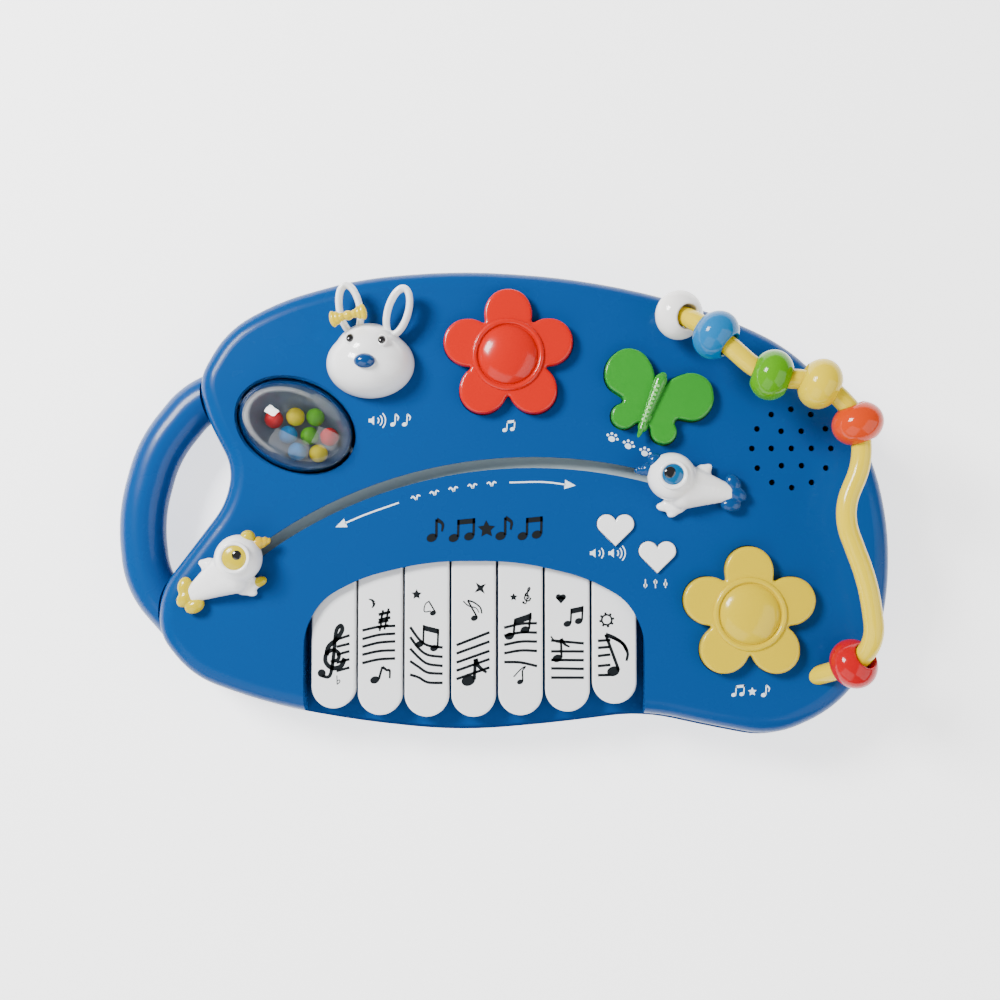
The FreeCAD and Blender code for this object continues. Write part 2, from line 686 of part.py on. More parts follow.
def batteries():
    """Three AA cells side by side, with their terminals."""
    cells = []
    b = BATTERY_BOX
    for k in range(3):
        y = (b["front"] + b["rear"]) / 2 + (k - 1) * 15.6
        left = (b["left"] + b["right"]) / 2 - size["battery_length"] / 2
        z = UNDERSIDE + DOOR_THICKNESS + 7.3
        body = make("Part::Cylinder", f"cell_{k}", at=(left, y, z), turn=Rotation(Vector(0, 1, 0), 90),
                    Radius="dim.battery_radius", Height="dim.battery_length - 1")
        end = left + size["battery_length"] - 1 if k % 2 == 0 else left - 1
        terminal = make("Part::Cylinder", f"terminal_{k}", at=(end, y, z),
                        turn=Rotation(Vector(0, 1, 0), 90), Radius=2.7, Height=1)
        cells.append(fuse(f"battery_{k}", [body, terminal]))
    return node("batteries", make("Part::Compound", "batteries", Links=cells))


def battery_contacts():
    """Spring steel plates at both ends of the battery box."""
    b = BATTERY_BOX
    plates = []
    for k in range(3):
        y = (b["front"] + b["rear"]) / 2 + (k - 1) * 15.6
        for x in (b["left"], b["right"] - 0.5):
            plates.append(box(f"contact_{k}_{x:.0f}", (x, y - 6, 6.0), (x + 0.5, y + 6, 17.0)))
    return node("battery_contacts", make("Part::Compound", "battery_contacts", Links=plates))


def main_board():
    low = (BOARD["left"], BOARD["front"], "dim.main_board_height")
    high = (BOARD["right"], BOARD["rear"], "dim.main_board_height + dim.board_thickness")
    plate = box("board_plate", low, high)
    holes = [upright(f"board_hole_{k}", x, y, 11.0, 15.0, 1.3)
             for k, (x, y) in enumerate(MAIN_POSTS, start=1)]
    corner = box("board_corner", (BOARD["left"] - 1, BOARD["front"] - 1, 11.0),
                 (BOARD["left"] + 16, BOARD["front"] + 3, 15.0))
    return node("main_board", cut("main_board", plate, holes + [corner]))


def board_components():
    """Melody chip under its resin drop, capacitors, a crystal and small resistors."""
    top = "dim.main_board_height + dim.board_thickness"
    above = BOARD_TOP
    parts = [
        upright("resin_drop", 20.0, -40.0, top, above + 2.0, 7.0),
        upright("capacitor_1", -20.0, -38.0, top, above + 8.0, 3.2),
        upright("capacitor_2", -10.0, -38.0, top, above + 6.0, 2.5),
        upright("capacitor_3", 45.0, -40.0, top, above + 6.0, 2.5),
        box("crystal", (33.0, -44.0, top), (37.0, -34.0, above + 3.5)),
        box("amplifier", (-60.0, -44.0, top), (-50.0, -38.0, above + 2.5)),
    ]
    for k in range(5):
        x = -45.0 + 4 * k
        parts.append(box(f"resistor_{k}", (x, -48.0, top), (x + 1.6, -44.8, above + 0.8)))
    return node("board_components", make("Part::Compound", "board_components", Links=parts))


def button_boards():
    """One small board under each group of buttons, on posts of the top shell."""
    low = size["button_board_height"]
    high = low + size["board_thickness"]
    strips = [
        box("red_board", (RED_FLOWER[0] - 42, RED_FLOWER[1] - 7, "dim.button_board_height"),
            (RED_FLOWER[0] + 42, RED_FLOWER[1] + 7, high)),
        box("yellow_board", (YELLOW_FLOWER[0] - 42, YELLOW_FLOWER[1] - 7, "dim.button_board_height"),
            (YELLOW_FLOWER[0] + 42, YELLOW_FLOWER[1] + 7, high)),
        box("butterfly_board", (BUTTERFLY[0] - 41, BUTTERFLY[1] - 7, "dim.button_board_height"),
            (BUTTERFLY[0] + 41, BUTTERFLY[1] + 7, high)),
        fuse("heart_board", [
            box("heart_board_rear", (43.0, -19.5, "dim.button_board_height"), (98.0, -6.0, high)),
            box("heart_board_front", (76.6, -38.0, "dim.button_board_height"), (98.0, -19.0, high)),
        ]),
    ]
    return node("button_boards", make("Part::Compound", "button_boards", Links=strips))


def dome(name, x, y, low, high, radius):
    return make("Part::Cone", name, at=(x, y, low), Radius1=radius, Radius2=radius * 0.6,
                Height=high - low)


def key_domes():
    low = BOARD_TOP
    strip = box("dome_strip", (key_middle(0) - 10, PLUNGER_Y - 8, low),
                (key_middle(KEY_COUNT - 1) + 10, PLUNGER_Y + 8, low + 1))
    parts = [dome(f"key_dome_{k}", key_middle(k), PLUNGER_Y, low + 0.9, DOME_TOP, 6.0)
             for k in range(KEY_COUNT)]
    return node("key_domes", fuse("key_domes", [strip] + parts))


BUTTON_STEMS = {"red": RED_FLOWER, "yellow": YELLOW_FLOWER, "butterfly": BUTTERFLY,
                "volume": VOLUME_HEART, "tone": TONE_HEART}
BUTTON_DOME_TOP = 33.0


def button_domes():
    low = size["button_board_height"] + size["board_thickness"]
    parts = [dome(f"{name}_dome", x, y, low, BUTTON_DOME_TOP, 4.0 if name == "tone" else 5.0)
             for name, (x, y) in BUTTON_STEMS.items()]
    domes = make("Part::Compound", "button_domes", Links=parts)
    return node("button_domes", domes)


def speaker():
    """A small loudspeaker under the grille: frame, paper cone and magnet."""
    x, y = GRILLE
    radius = size["speaker_radius"]
    rim_low = CEILING - 2.0
    rim = cut("speaker_rim", upright("rim_disc", x, y, rim_low, CEILING_EXPR, "dim.speaker_radius"),
              [upright("rim_hole", x, y, rim_low - 1, CEILING + 1, radius - 3)])
    basket_low = rim_low - 12
    basket = make("Part::Cone", "basket_outside", at=(x, y, basket_low), Radius1=12.0,
                  Radius2=radius - 2, Height=12.0)
    hollow = make("Part::Cone", "basket_inside", at=(x, y, basket_low + 1), Radius1=11.0,
                  Radius2=radius - 3, Height=11.2)
    windows = []
    for k in range(4):
        angle = 90 * k + 45
        window = make("Part::Box", f"basket_window_{k}", Length=40.0, Width=9.0, Height=5.0)
        window.Placement = Placement(Vector(x, y, basket_low + 3), Rotation(Vector(0, 0, 1), angle),
                                     Vector(0, 0, 0))
        windows.append(window)
    basket_cut = cut("basket_shell", basket, [hollow] + windows)
    node("speaker_frame", fuse("speaker_frame", [rim, basket_cut]))
    cone_out = make("Part::Cone", "cone_outside", at=(x, y, basket_low + 4.2), Radius1=6.0,
                    Radius2=radius - 4.0, Height=8.6)
    cone_in = make("Part::Cone", "cone_inside", at=(x, y, basket_low + 4.9), Radius1=6.0,
                   Radius2=radius - 4.0, Height=8.6)
    cap = ellipsoid("dust_cap", (x, y, basket_low + 4.8), 6.0, 6.0, 3.0)
    lower = box("dust_cap_cut", (x - 8, y - 8, basket_low), (x + 8, y + 8, basket_low + 4.3))
    node("speaker_cone", fuse("speaker_cone", [cut("cone_skin", cone_out, [cone_in]),
                                               cut("dust_cap_top", cap, [lower])]))
    node("speaker_magnet", upright("speaker_magnet", x, y, basket_low - 9, basket_low, 13.0))


def lead(name, points, radius):
    edges, _ = rounded_route(points)
    spine = outline(f"{name}_route", Part.Wire(edges))
    start = Vector(*points[0])
    circle = Part.Wire(Part.Circle(start, Vector(*points[1]) - start, radius).toShape())
    return make("Part::Sweep", name, Sections=[outline(f"{name}_section", circle)],
                Spine=(spine, [f"Edge{k}" for k in range(1, len(edges) + 1)]), Solid=True,
                Frenet=False)


def leads():
    """Each lead ends upright under the main board."""
    front = BATTERY_BOX["front"] - BOX_SKIN - 0.1
    end = size["main_board_height"] - 0.1
    pair = []
    for k, x in enumerate((-34, -28)):
        pair.append(lead(f"battery_lead_{k}", [(x, front, 9), (x, -20, 8), (x - 4, -45, 7),
                                               (x - 4, -45, end)], 0.8))
    node("battery_leads", make("Part::Compound", "battery_leads", Links=pair))
    side = GRILLE[0] - 13.8
    pair = []
    for k in range(2):
        y = GRILLE[1] - 1.5 + 3 * k
        pair.append(lead(f"speaker_lead_{k}", [(side, y, 20), (side - 12, y - 3, 12), (100, -15 + 4 * k, 8),
                                               (75, -40 + 4 * k, 8), (62, -50 + 4 * k, 7),
                                               (62, -50 + 4 * k, end)], 0.8))
    node("speaker_leads", make("Part::Compound", "speaker_leads", Links=pair))


def power_switch():
    x, y = SWITCH
    knob = box("switch_knob", (x - 2.5, y - 2.5, UNDERSIDE + 0.2), (x + 2.5, y + 2.5, FLOOR + 0.5))
    ribs = [box(f"switch_rib_{k}", (x - 1.6 + 1.4 * k, y - 2.6, UNDERSIDE),
                (x - 1.2 + 1.4 * k, y + 2.6, UNDERSIDE + 0.6)) for k in range(3)]
    plate = box("switch_plate", (x - 7.5, y - 4, FLOOR + 0.3), (x + 7.5, y + 4, FLOOR + 1.3))
    node("power_switch", cut("power_switch", fuse("switch_slider", [knob, plate]), ribs))
    case = box("switch_case", (x - 8, y - 4.5, FLOOR + 1.6), (x + 8, y + 4.5, FLOOR + 7))
    legs = [box(f"switch_leg_{k}", (x + side - 1.5, y - 4.5, FLOOR), (x + side + 1.5, y + 4.5, FLOOR + 7))
            for k, side in enumerate((-11.5, 11.5))]
    bridge = box("switch_bridge", (x - 13, y - 4.5, FLOOR + 6), (x + 13, y + 4.5, FLOOR + 7))
    node("switch_body", fuse("switch_body", [case, bridge] + legs))


# ---------------------------------------------------------------------------- buttons

FLANGE_HIGH = CEILING - 0.2
FLANGE_THICKNESS = 1.2


def button_stem(name, place, top):
    return upright(f"{name}_stem", *place, BUTTON_DOME_TOP + 0.2, top, 3.0)


def flower_button(name, place):
    """A flower cap: five petals, a ring and a dome, with a flange under the panel and a stem."""
    edge = size["flower_edge_height"]
    petals = rounded(f"{name}_petals", flower_solid(f"{name}_blank", place, FLANGE_HIGH - 1,
                     "dim.flower_edge_height", 0.0), 1.6, edge)
    hollow = flower_solid(f"{name}_hollow", place, FLANGE_HIGH - 2, edge - 2.2, -2.2)
    flange_outer = flower_solid(f"{name}_flange", place, FLANGE_HIGH - FLANGE_THICKNESS, FLANGE_HIGH, 1.4)
    flange = cut(f"{name}_flange_ring", flange_outer, [flower_solid(f"{name}_flange_hole", place,
                 FLANGE_HIGH - 3, FLANGE_HIGH + 1, -2.2)])
    ring = make("Part::Torus", f"{name}_ring", at=(*place, edge), Radius1=16.3, Radius2=1.2)
    dome_ball = ellipsoid(f"{name}_dome_ball", (*place, edge - 1), 15.0, 15.0,
                          size["flower_dome_height"] - edge + 1)
    below = upright(f"{name}_below", *place, edge - 12, edge - 1, 20.0)
    cap = cut(f"{name}_dome_cap", dome_ball, [below])
    whole = fuse(f"{name}_whole", [cut(f"{name}_shell", petals, [hollow]), flange, ring, cap,
                                   button_stem(name, place, edge - 1)])
    whole.Label = f"{name}_solid"
    return node(name, whole)


def butterfly_button():
    top = size["butterfly_top"]
    blank = prism("butterfly_blank", outline("butterfly_cap_line", butterfly_wire(0, FLANGE_HIGH - 1)),
                  top - FLANGE_HIGH + 1)
    wings = rounded("butterfly_wings", blank, 1.4, top)
    flange = prism("butterfly_flange", outline("butterfly_flange_line",
                   butterfly_wire(1.6, FLANGE_HIGH - FLANGE_THICKNESS)), FLANGE_THICKNESS)
    angle = math.radians(90 + BUTTERFLY_TURN)
    segments = []
    for k in range(6):
        along = -12.5 + 5.2 * k
        place = (BUTTERFLY[0] + along * math.cos(angle), BUTTERFLY[1] + along * math.sin(angle), top - 0.2)
        segments.append(ellipsoid(f"butterfly_segment_{k}", place, 2.5, 3.2, 2.2,
                                  turn=Rotation(Vector(0, 0, 1), BUTTERFLY_TURN)))
    return node("butterfly_button", fuse("butterfly_button", [wings, flange] + segments
                + [button_stem("butterfly", BUTTERFLY, top - 2)]))


def heart_button(name, place):
    top = size["heart_top"]
    blank = prism(f"{name}_blank", outline(f"{name}_cap_line", heart_wire(place, 0, FLANGE_HIGH - 1)),
                  top - FLANGE_HIGH + 1)
    cap = rounded(f"{name}_cap", blank, 0.9, top)
    flange = prism(f"{name}_flange", outline(f"{name}_flange_line",
                   heart_wire(place, 0.8, FLANGE_HIGH - 1)), 1.0)
    return node(name, fuse(name, [cap, flange, button_stem(name, place, top - 2)]))


# ---------------------------------------------------------------------------- rabbit

HEAD_BASE = PANEL + 0.5
PLUNGER_FLANGE = 14.0
EAR_TOP = 56.0


def ear(name, middle, turn):
    """An upright loop with an oval hole."""
    low, high = 44.0, EAR_TOP
    rotation = Rotation(Vector(0, 0, 1), turn)
    wires = []
    for part, (half_long, half_wide) in {"out": (12.6, 7.0), "in": (8.6, 3.2)}.items():
        wire = Part.Wire(Part.Ellipse(Vector(0, 0, 0), half_long, half_wide).toShape())
        wire.Placement = Placement(Vector(*middle, low), rotation)
        wires.append(prism(f"{name}_{part}", outline(f"{name}_{part}_line", wire), high - low))
    return cut(name, wires[0], [wires[1]])


def rabbit():
    outer = ellipsoid("head_outer", (*RABBIT, HEAD_BASE), "dim.head_half_width", "dim.head_half_depth",
                      "dim.head_height")
    inner = ellipsoid("head_inner", (*RABBIT, HEAD_BASE), "dim.head_half_width - 2",
                      "dim.head_half_depth - 2", "dim.head_height - 2")
    skin = cut("head_skin", outer, [inner])
    boss = common("head_boss", upright("head_boss_block", *RABBIT, HEAD_BASE + 3, 70.0, 8.5), outer)
    ears = [ear("left_ear", (-74.5, 95.5), 100.0), ear("right_ear", (-49.9, 93.8), 72.0)]
    ear_parts = [cut(f"{e.Name}_trimmed", e, [inner]) for e in ears]
    below = box("head_below", (RABBIT[0] - 40, RABBIT[1] - 40, 10.0),
                (RABBIT[0] + 40, RABBIT[1] + 60, HEAD_BASE))
    socket = upright("plunger_socket", *RABBIT, HEAD_BASE, 56.0, "dim.plunger_radius + 0.02")
    node("rabbit_head", cut("rabbit_head", fuse("head_solid", [skin, boss] + ear_parts),
                            [below, socket]))
    stem = upright("plunger_stem", *RABBIT, PLUNGER_FLANGE, 56.0, "dim.plunger_radius")
    flange = upright("plunger_flange", *RABBIT, PLUNGER_FLANGE, PLUNGER_FLANGE + 2.4, 10.0)
    node("rabbit_plunger", fuse("rabbit_plunger", [stem, flange]))

    nose = capsule("nose_ball", (RABBIT[0] - 1.2, RABBIT[1] - 1.0, HEAD_BASE + 20.3), (1, 0, 0), 5.2, 3.6)
    node("rabbit_nose", cut("rabbit_nose", nose, [outer]))
    # the bow's flat underside is glued on top of the left ear
    bow_at = Vector(-74.0, 90.5, EAR_TOP + 1.6)
    wings = []
    for side in (-1, 1):
        direction = Vector(side * math.cos(math.radians(15)), side * math.sin(math.radians(15)), 0)
        wings.append(capsule(f"bow_wing_{side + 2}", tuple(bow_at + direction * 5.6), tuple(direction),
                             4.6, 3.4))
    knot = ball("bow_knot", tuple(bow_at), 2.6)
    under_bow = box("under_bow", (-95.0, 70.0, EAR_TOP - 10), (-55.0, 105.0, EAR_TOP))
    node("rabbit_bow", cut("rabbit_bow", fuse("bow_solid", wings + [knot]), [under_bow]))

    spring_low = PLUNGER_FLANGE + 2.4 + 0.8
    spring_high = CEILING - 0.8
    helix = make("Part::Helix", "spring_route", at=(*RABBIT, spring_low), Pitch=3.6,
                 Height=spring_high - spring_low, Radius=7.7)
    wire_section = outline("spring_section", Part.Wire(Part.Circle(
        Vector(RABBIT[0] + 7.7, RABBIT[1], spring_low), Vector(0, 1, 0), 0.7).toShape()))
    node("rabbit_spring", make("Part::Sweep", "rabbit_spring", Sections=[wire_section],
                               Spine=(helix, ["Edge1"]), Solid=True, Frenet=True))


# ---------------------------------------------------------------------------- sliding birds

BIRD_BASE = PANEL + 0.5
SHOE_LOW = 34.4
PEG_PLACES = (-3.5, 3.5)


def bird_place(degrees, along, across, z):
    """along points anticlockwise on the track, across points away from its centre."""
    angle = math.radians(degrees)
    out = Vector(math.cos(angle), math.sin(angle), 0)
    forward = Vector(-math.sin(angle), math.cos(angle), 0)
    spot = TRACK_CENTRE + out * (size["track_radius"] + across) + forward * along
    return (spot.x, spot.y, z)


def slide_track():
    """A grey channel under the slot, closed below, that carries both shoes."""
    half = size["shoe_width"] / 2 + 0.5
    low = SHOE_LOW - 2.0
    left = TRACK_LEFT_DEG + 2.0
    right = TRACK_RIGHT_DEG - 2.0
    outside = prism("track_block", outline("track_line", track_band(half + 1.0, left, right, low)),
                    difference(low, CEILING_EXPR))
    inside = prism("track_room", outline("track_room_line", track_band(half, left, right, low + 1.4)),
                   10.0)
    return node("slide_track", cut("slide_track", outside, [inside]))


def bird(name, degrees, facing):
    """A smooth bird with a big round eye. facing is +1 if its head points anticlockwise."""
    angle = math.radians(degrees)
    forward = (-math.sin(angle), math.cos(angle), 0)
    body = capsule(f"{name}_body", bird_place(degrees, -5 * facing, 0, BIRD_BASE + 3.5), forward, 15.5,
                   9.8)
    head = ball(f"{name}_head", bird_place(degrees, 8.5 * facing, 2.5, BIRD_BASE + 7), 11.8)
    low_wing = capsule(f"{name}_low_wing", bird_place(degrees, -1 * facing, -9.5, BIRD_BASE + 4),
                       forward, 7.5, 4.0)
    high_wing = capsule(f"{name}_high_wing", bird_place(degrees, -1 * facing, 9.5, BIRD_BASE + 4),
                        forward, 5.5, 3.8)
    whole = fuse(f"{name}_whole", [body, head, low_wing, high_wing])
    spot = bird_place(degrees, 0, 0, 0)
    below = box(f"{name}_below", (spot[0] - 45, spot[1] - 45, BIRD_BASE - 30),
                (spot[0] + 45, spot[1] + 45, BIRD_BASE))
    base = cut(f"{name}_base", whole, [below])
    pegs = []
    for k, along in enumerate(PEG_PLACES):
        x, y, _ = bird_place(degrees, along, 0, 0)
        pegs.append(upright(f"{name}_peg_{k}", x, y, SHOE_LOW + 0.5, BIRD_BASE + 3, 2.2))
    node(name, fuse(name, [base] + pegs))
    shoe_wire = track_band(size["shoe_width"] / 2, degrees + 2.2, degrees - 2.2, SHOE_LOW)
    shoe = prism(f"{name}_shoe_block", outline(f"{name}_shoe_line", shoe_wire), 4.2)
    holes = []
    for k, along in enumerate(PEG_PLACES):
        x, y, _ = bird_place(degrees, along, 0, 0)
        holes.append(upright(f"{name}_peg_hole_{k}", x, y, SHOE_LOW + 0.5, SHOE_LOW + 8, 2.21))
    node(f"{name}_shoe", cut(f"{name}_shoe", shoe, holes))

    crest = ball(f"{name}_crest", bird_place(degrees, 18.5 * facing, 7.5, BIRD_BASE + 8.6), 4.2)
    beak = capsule(f"{name}_beak", bird_place(degrees, 22 * facing, 1.5, BIRD_BASE + 7.5), forward, 5.5,
                   2.7)
    lobes = [capsule(f"{name}_tail_{k}", bird_place(degrees, -21 * facing, 6 * k - 1.5,
                     BIRD_BASE + 4.2), forward, 5.6, 4.0) for k in range(3)]
    eye_low = bird_place(degrees, 8.5 * facing, 2.5, BIRD_BASE + 12)
    iris = common(f"{name}_iris", upright(f"{name}_iris_bar", *eye_low, BIRD_BASE + 24, 5.9),
                  ball(f"{name}_iris_ball", bird_place(degrees, 8.5 * facing, 2.5, BIRD_BASE + 7), 12.6))
    pieces = [cut(f"{piece.Name}_cut", piece, [head]) for piece in (crest, beak, iris)]
    pieces += [cut(f"{lobe.Name}_cut", lobe, [body]) for lobe in lobes]
    node(f"{name}_trim", fuse(f"{name}_trim", pieces))


# ---------------------------------------------------------------------------- bead rod

# Each bead sits on one of the rod's bends: the bend's number and a turn along it in degrees.
BEADS = {
    "white_bead": (0, -12.0),
    "blue_bead": (1, -3.0),
    "green_bead": (2, 4.0),
    "yellow_bead": (3, -1.5),
    "orange_bead": (4, 4.5),
    "red_bead": (9, 2.0),
}


def bead_rod():
    edges, corners = rounded_route(ROD_ROUTE)
    spine = outline("rod_route", Part.Wire(edges))
    start = Vector(*ROD_ROUTE[0])
    circle = Part.Wire(Part.Circle(start, Vector(*ROD_ROUTE[1]) - start, size["rod_radius"]).toShape())
    rod = make("Part::Sweep", "bead_rod", Sections=[outline("rod_section", circle)],
               Spine=(spine, [f"Edge{k}" for k in range(1, len(edges) + 1)]), Solid=True, Frenet=False)
    node("bead_rod", rod)
    return corners


def bead(name, corner, degrees):
    """A barrel with a waisted bore, centred on the rod."""
    half = size["bead_half_length"]
    bore_end = size["bead_bore_radius"] + 1.6
    out_end = size["bead_radius"] - 3.2
    profile = Part.Wire([
        arc((out_end, 0, -half), (size["bead_radius"], 0, 0), (out_end, 0, half)),
        line((out_end, 0, half), (bore_end, 0, half)),
        arc((bore_end, 0, half), (size["bead_bore_radius"], 0, 0), (bore_end, 0, -half)),
        line((bore_end, 0, -half), (out_end, 0, -half)),
    ])
    item = make("Part::Revolution", name, Source=outline(f"{name}_profile", profile),
                Axis=Vector(0, 0, 1), Base=Vector(0, 0, 0), Angle=360.0, Solid=True)
    swing = Rotation(corner["normal"], degrees)
    middle = corner["centre"] + swing.multVec(corner["middle"] - corner["centre"])
    tangent = corner["normal"].cross(middle - corner["centre"]).normalize()
    item.Placement = Placement(middle, Rotation(Vector(0, 0, 1), tangent))
    return node(name, item)


# ---------------------------------------------------------------------------- rattle drum

# Balls in the drum's lower half: along its axis, across it.
BALL_PLACES = [(-15, -1.2), (-5.6, 4.6), (4.4, 8.6), (5.2, -1.6), (15.4, 2.0), (14.2, -8.4),
               (-5.2, -5.6), (3.6, -12.0)]


def drum():
    turn = Rotation(Vector(0, 0, 1), DRUM_TURN)
    place = (*DRUM, "dim.drum_axis_height")
    outer = ellipsoid("drum_outer", place, "dim.drum_half_length", "dim.drum_radius", "dim.drum_radius",
                      turn=turn)
    inner = ellipsoid("drum_inner", place, "dim.drum_half_length - dim.drum_wall",
                      "dim.drum_radius - dim.drum_wall", "dim.drum_radius - dim.drum_wall", turn=turn)
    axis_height = size["drum_axis_height"]
    pins = [cylinder(f"drum_pin_{k}", drum_frame(side * 29.8, 0, 0), drum_frame(side * 36.4, 0, 0),
                     size["drum_pin_radius"]) for k, side in enumerate((-1, 1))]
    above = box("drum_above", (DRUM[0] - 50, DRUM[1] - 50, axis_height),
                (DRUM[0] + 50, DRUM[1] + 50, axis_height + 40))
    below = box("drum_under", (DRUM[0] - 50, DRUM[1] - 50, axis_height - 40),
                (DRUM[0] + 50, DRUM[1] + 50, axis_height))
    skin = cut("drum_skin", outer, [inner])
    node("drum_upper_half", cut("drum_upper_half", skin, [below] + pins))
    node("drum_lower_half", fuse("drum_lower_half", [cut("drum_lower_skin", skin, [above])] + pins))

    balls = []
    room = size["drum_radius"] - size["drum_wall"] - size["ball_radius"] - 0.2
    reach = size["drum_half_length"] - size["drum_wall"] - size["ball_radius"] - 0.2
    for k, (along, across) in enumerate(BALL_PLACES):
        drop = math.sqrt(max(0.0, room ** 2 * (1 - (along / reach) ** 2) - across ** 2))
        balls.append(make("Part::Sphere", f"ball_{k}", at=drum_frame(along, across, -drop + 0.3),
                          Radius="dim.ball_radius"))
    node("rattle_balls", make("Part::Compound", "rattle_balls", Links=balls))

    blocks = []
    for k, side in enumerate((-1, 1)):
        block = make("Part::Box", f"bearing_block_{k}", Length=3.0, Width=10.0,
                     Height=difference(31.0, CEILING_EXPR))
        block.Placement = Placement(Vector(*drum_frame(side * 34.7 - 1.5, -5, 31.0 - axis_height)), turn)
        bore = cylinder(f"bearing_bore_{k}", drum_frame(side * 30, 0, 0), drum_frame(side * 40, 0, 0),
                        size["drum_pin_radius"] + 0.05)
        blocks.append(cut(f"bearing_{k}", block, [bore]))
    node("drum_bearings", make("Part::Compound", "drum_bearings", Links=blocks))


# ---------------------------------------------------------------------------- the whole toy

top_shell()
bottom_shell()
carry_handle()
rubber_feet()
battery_door()
screws("door_screw", [DOOR_SCREW], UNDERSIDE + 0.2, 1, 8.0, size["screw_radius"], 3.0)
screws("housing_screws", SCREW_PLACES, 6.6, 1, 22.0, size["screw_radius"], 3.0)
screws("inner_screws", MAIN_POSTS, BOARD_TOP + 1.4, -1, 7.0, 1.0, 2.2)
batteries()
battery_contacts()
main_board()
board_components()
button_boards()
key_domes()
button_domes()
speaker()
leads()
power_switch()
key_axle()
for index in range(KEY_COUNT):
    key(index)
flower_button("red_flower_button", RED_FLOWER)
flower_button("yellow_flower_button", YELLOW_FLOWER)
butterfly_button()
heart_button("volume_button", VOLUME_HEART)
heart_button("tone_button", TONE_HEART)
rabbit()
slide_track()
bird("left_bird", LEFT_BIRD_DEG, -1)
bird("right_bird", RIGHT_BIRD_DEG, 1)
bends = bead_rod()
for bead_name, (bend, bead_turn) in BEADS.items():
    bead(bead_name, bends[bend], bead_turn)
drum()

doc.recompute()
for item in doc.Objects:
    if "Invalid" in item.State or "Error" in item.State:
        raise RuntimeError(f"{item.Label} did not recompute: {item.State}")
for item in nodes:
    if item.Shape.isNull() or not item.Shape.isValid():
        raise RuntimeError(f"{item.Label} has no valid shape")

os.makedirs("parts", exist_ok=True)
for item in nodes:
    item.Shape.exportStep(f"parts/{item.Label}.step")
print(len(nodes), "nodes written")
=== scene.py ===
import json
import math

import bmesh
import bpy
from mathutils import Matrix, Vector


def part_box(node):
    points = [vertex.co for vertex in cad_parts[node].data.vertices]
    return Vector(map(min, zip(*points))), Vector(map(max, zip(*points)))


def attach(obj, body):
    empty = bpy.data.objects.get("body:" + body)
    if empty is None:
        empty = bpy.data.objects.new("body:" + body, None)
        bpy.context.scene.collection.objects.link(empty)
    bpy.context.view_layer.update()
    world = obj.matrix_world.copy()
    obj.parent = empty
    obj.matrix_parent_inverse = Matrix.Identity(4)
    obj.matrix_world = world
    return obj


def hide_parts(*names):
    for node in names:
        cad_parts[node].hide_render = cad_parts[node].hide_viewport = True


# Looks of the toy keyboard. Sizes are in millimetres, which mm() and finish_mesh() turn into metres.
# Only the lights and the floor are placed in metres.
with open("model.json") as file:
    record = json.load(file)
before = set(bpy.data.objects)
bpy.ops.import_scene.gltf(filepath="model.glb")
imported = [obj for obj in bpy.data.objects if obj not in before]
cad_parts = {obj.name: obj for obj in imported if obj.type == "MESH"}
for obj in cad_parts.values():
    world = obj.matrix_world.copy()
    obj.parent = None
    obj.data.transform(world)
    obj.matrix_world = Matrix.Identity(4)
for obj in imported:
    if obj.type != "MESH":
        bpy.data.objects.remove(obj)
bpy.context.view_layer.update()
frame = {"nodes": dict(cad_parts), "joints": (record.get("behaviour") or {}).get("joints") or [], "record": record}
joints = {joint["name"]: joint for joint in frame["joints"]}

MM = 0.001


def mm(x, y, z):
    return Vector((x, y, z)) * MM


def box_mm(name):
    low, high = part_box(name)
    return low / MM, high / MM


def middle_mm(name):
    low, high = box_mm(name)
    return (low + high) / 2


TRACK_BELOW_PANEL = 2.4
PANEL = box_mm("slide_track")[1].z + TRACK_BELOW_PANEL
KEY_TOP = box_mm("key_4")[1].z


# ------------------------------------------------------------------ camera, floor and lights

CAMERA_LENS = 46.6
CAMERA_ABOVE_PANEL = 650.0

camera_data = bpy.data.cameras.new("camera")
camera_data.lens = CAMERA_LENS
camera_data.clip_end = 20
camera = bpy.data.objects.new("camera", camera_data)
bpy.context.collection.objects.link(camera)
camera.location = mm(18.0, -30.0, PANEL + CAMERA_ABOVE_PANEL)
back = (camera.location - mm(0.8, -0.3, PANEL)).normalized()
right = Vector((0, 1, 0)).cross(back).normalized()
up = back.cross(right)
camera.rotation_euler = Matrix((right, up, back)).transposed().to_euler()
bpy.context.scene.camera = camera


# ------------------------------------------------------------------ materials

def principled(name):
    material = bpy.data.materials.new(name)
    material.use_nodes = True
    return material, material.node_tree.nodes, material.node_tree.links


def plastic(name, colour, rough=0.22, coat=0.35, subsurface=0.0, wave=0.04, specular=0.4):
    """Glossy moulded plastic whose polish varies a little over the surface."""
    material, nodes, links = principled(name)
    shader = nodes["Principled BSDF"]
    shader.inputs["Specular IOR Level"].default_value = specular
    shader.inputs["Base Color"].default_value = (*colour, 1)
    shader.inputs["Coat Weight"].default_value = coat
    shader.inputs["Coat Roughness"].default_value = 0.06
    shader.inputs["Subsurface Weight"].default_value = subsurface
    shader.inputs["Subsurface Radius"].default_value = (0.004, 0.004, 0.004)
    place = nodes.new("ShaderNodeTexCoord")
    noise = nodes.new("ShaderNodeTexNoise")
    noise.inputs["Scale"].default_value = 60.0
    noise.inputs["Detail"].default_value = 3.0
    spread = nodes.new("ShaderNodeMapRange")
    spread.inputs["To Min"].default_value = rough - wave
    spread.inputs["To Max"].default_value = rough + wave
    links.new(place.outputs["Object"], noise.inputs["Vector"])
    links.new(noise.outputs["Fac"], spread.inputs["Value"])
    links.new(spread.outputs["Result"], shader.inputs["Roughness"])
    return material


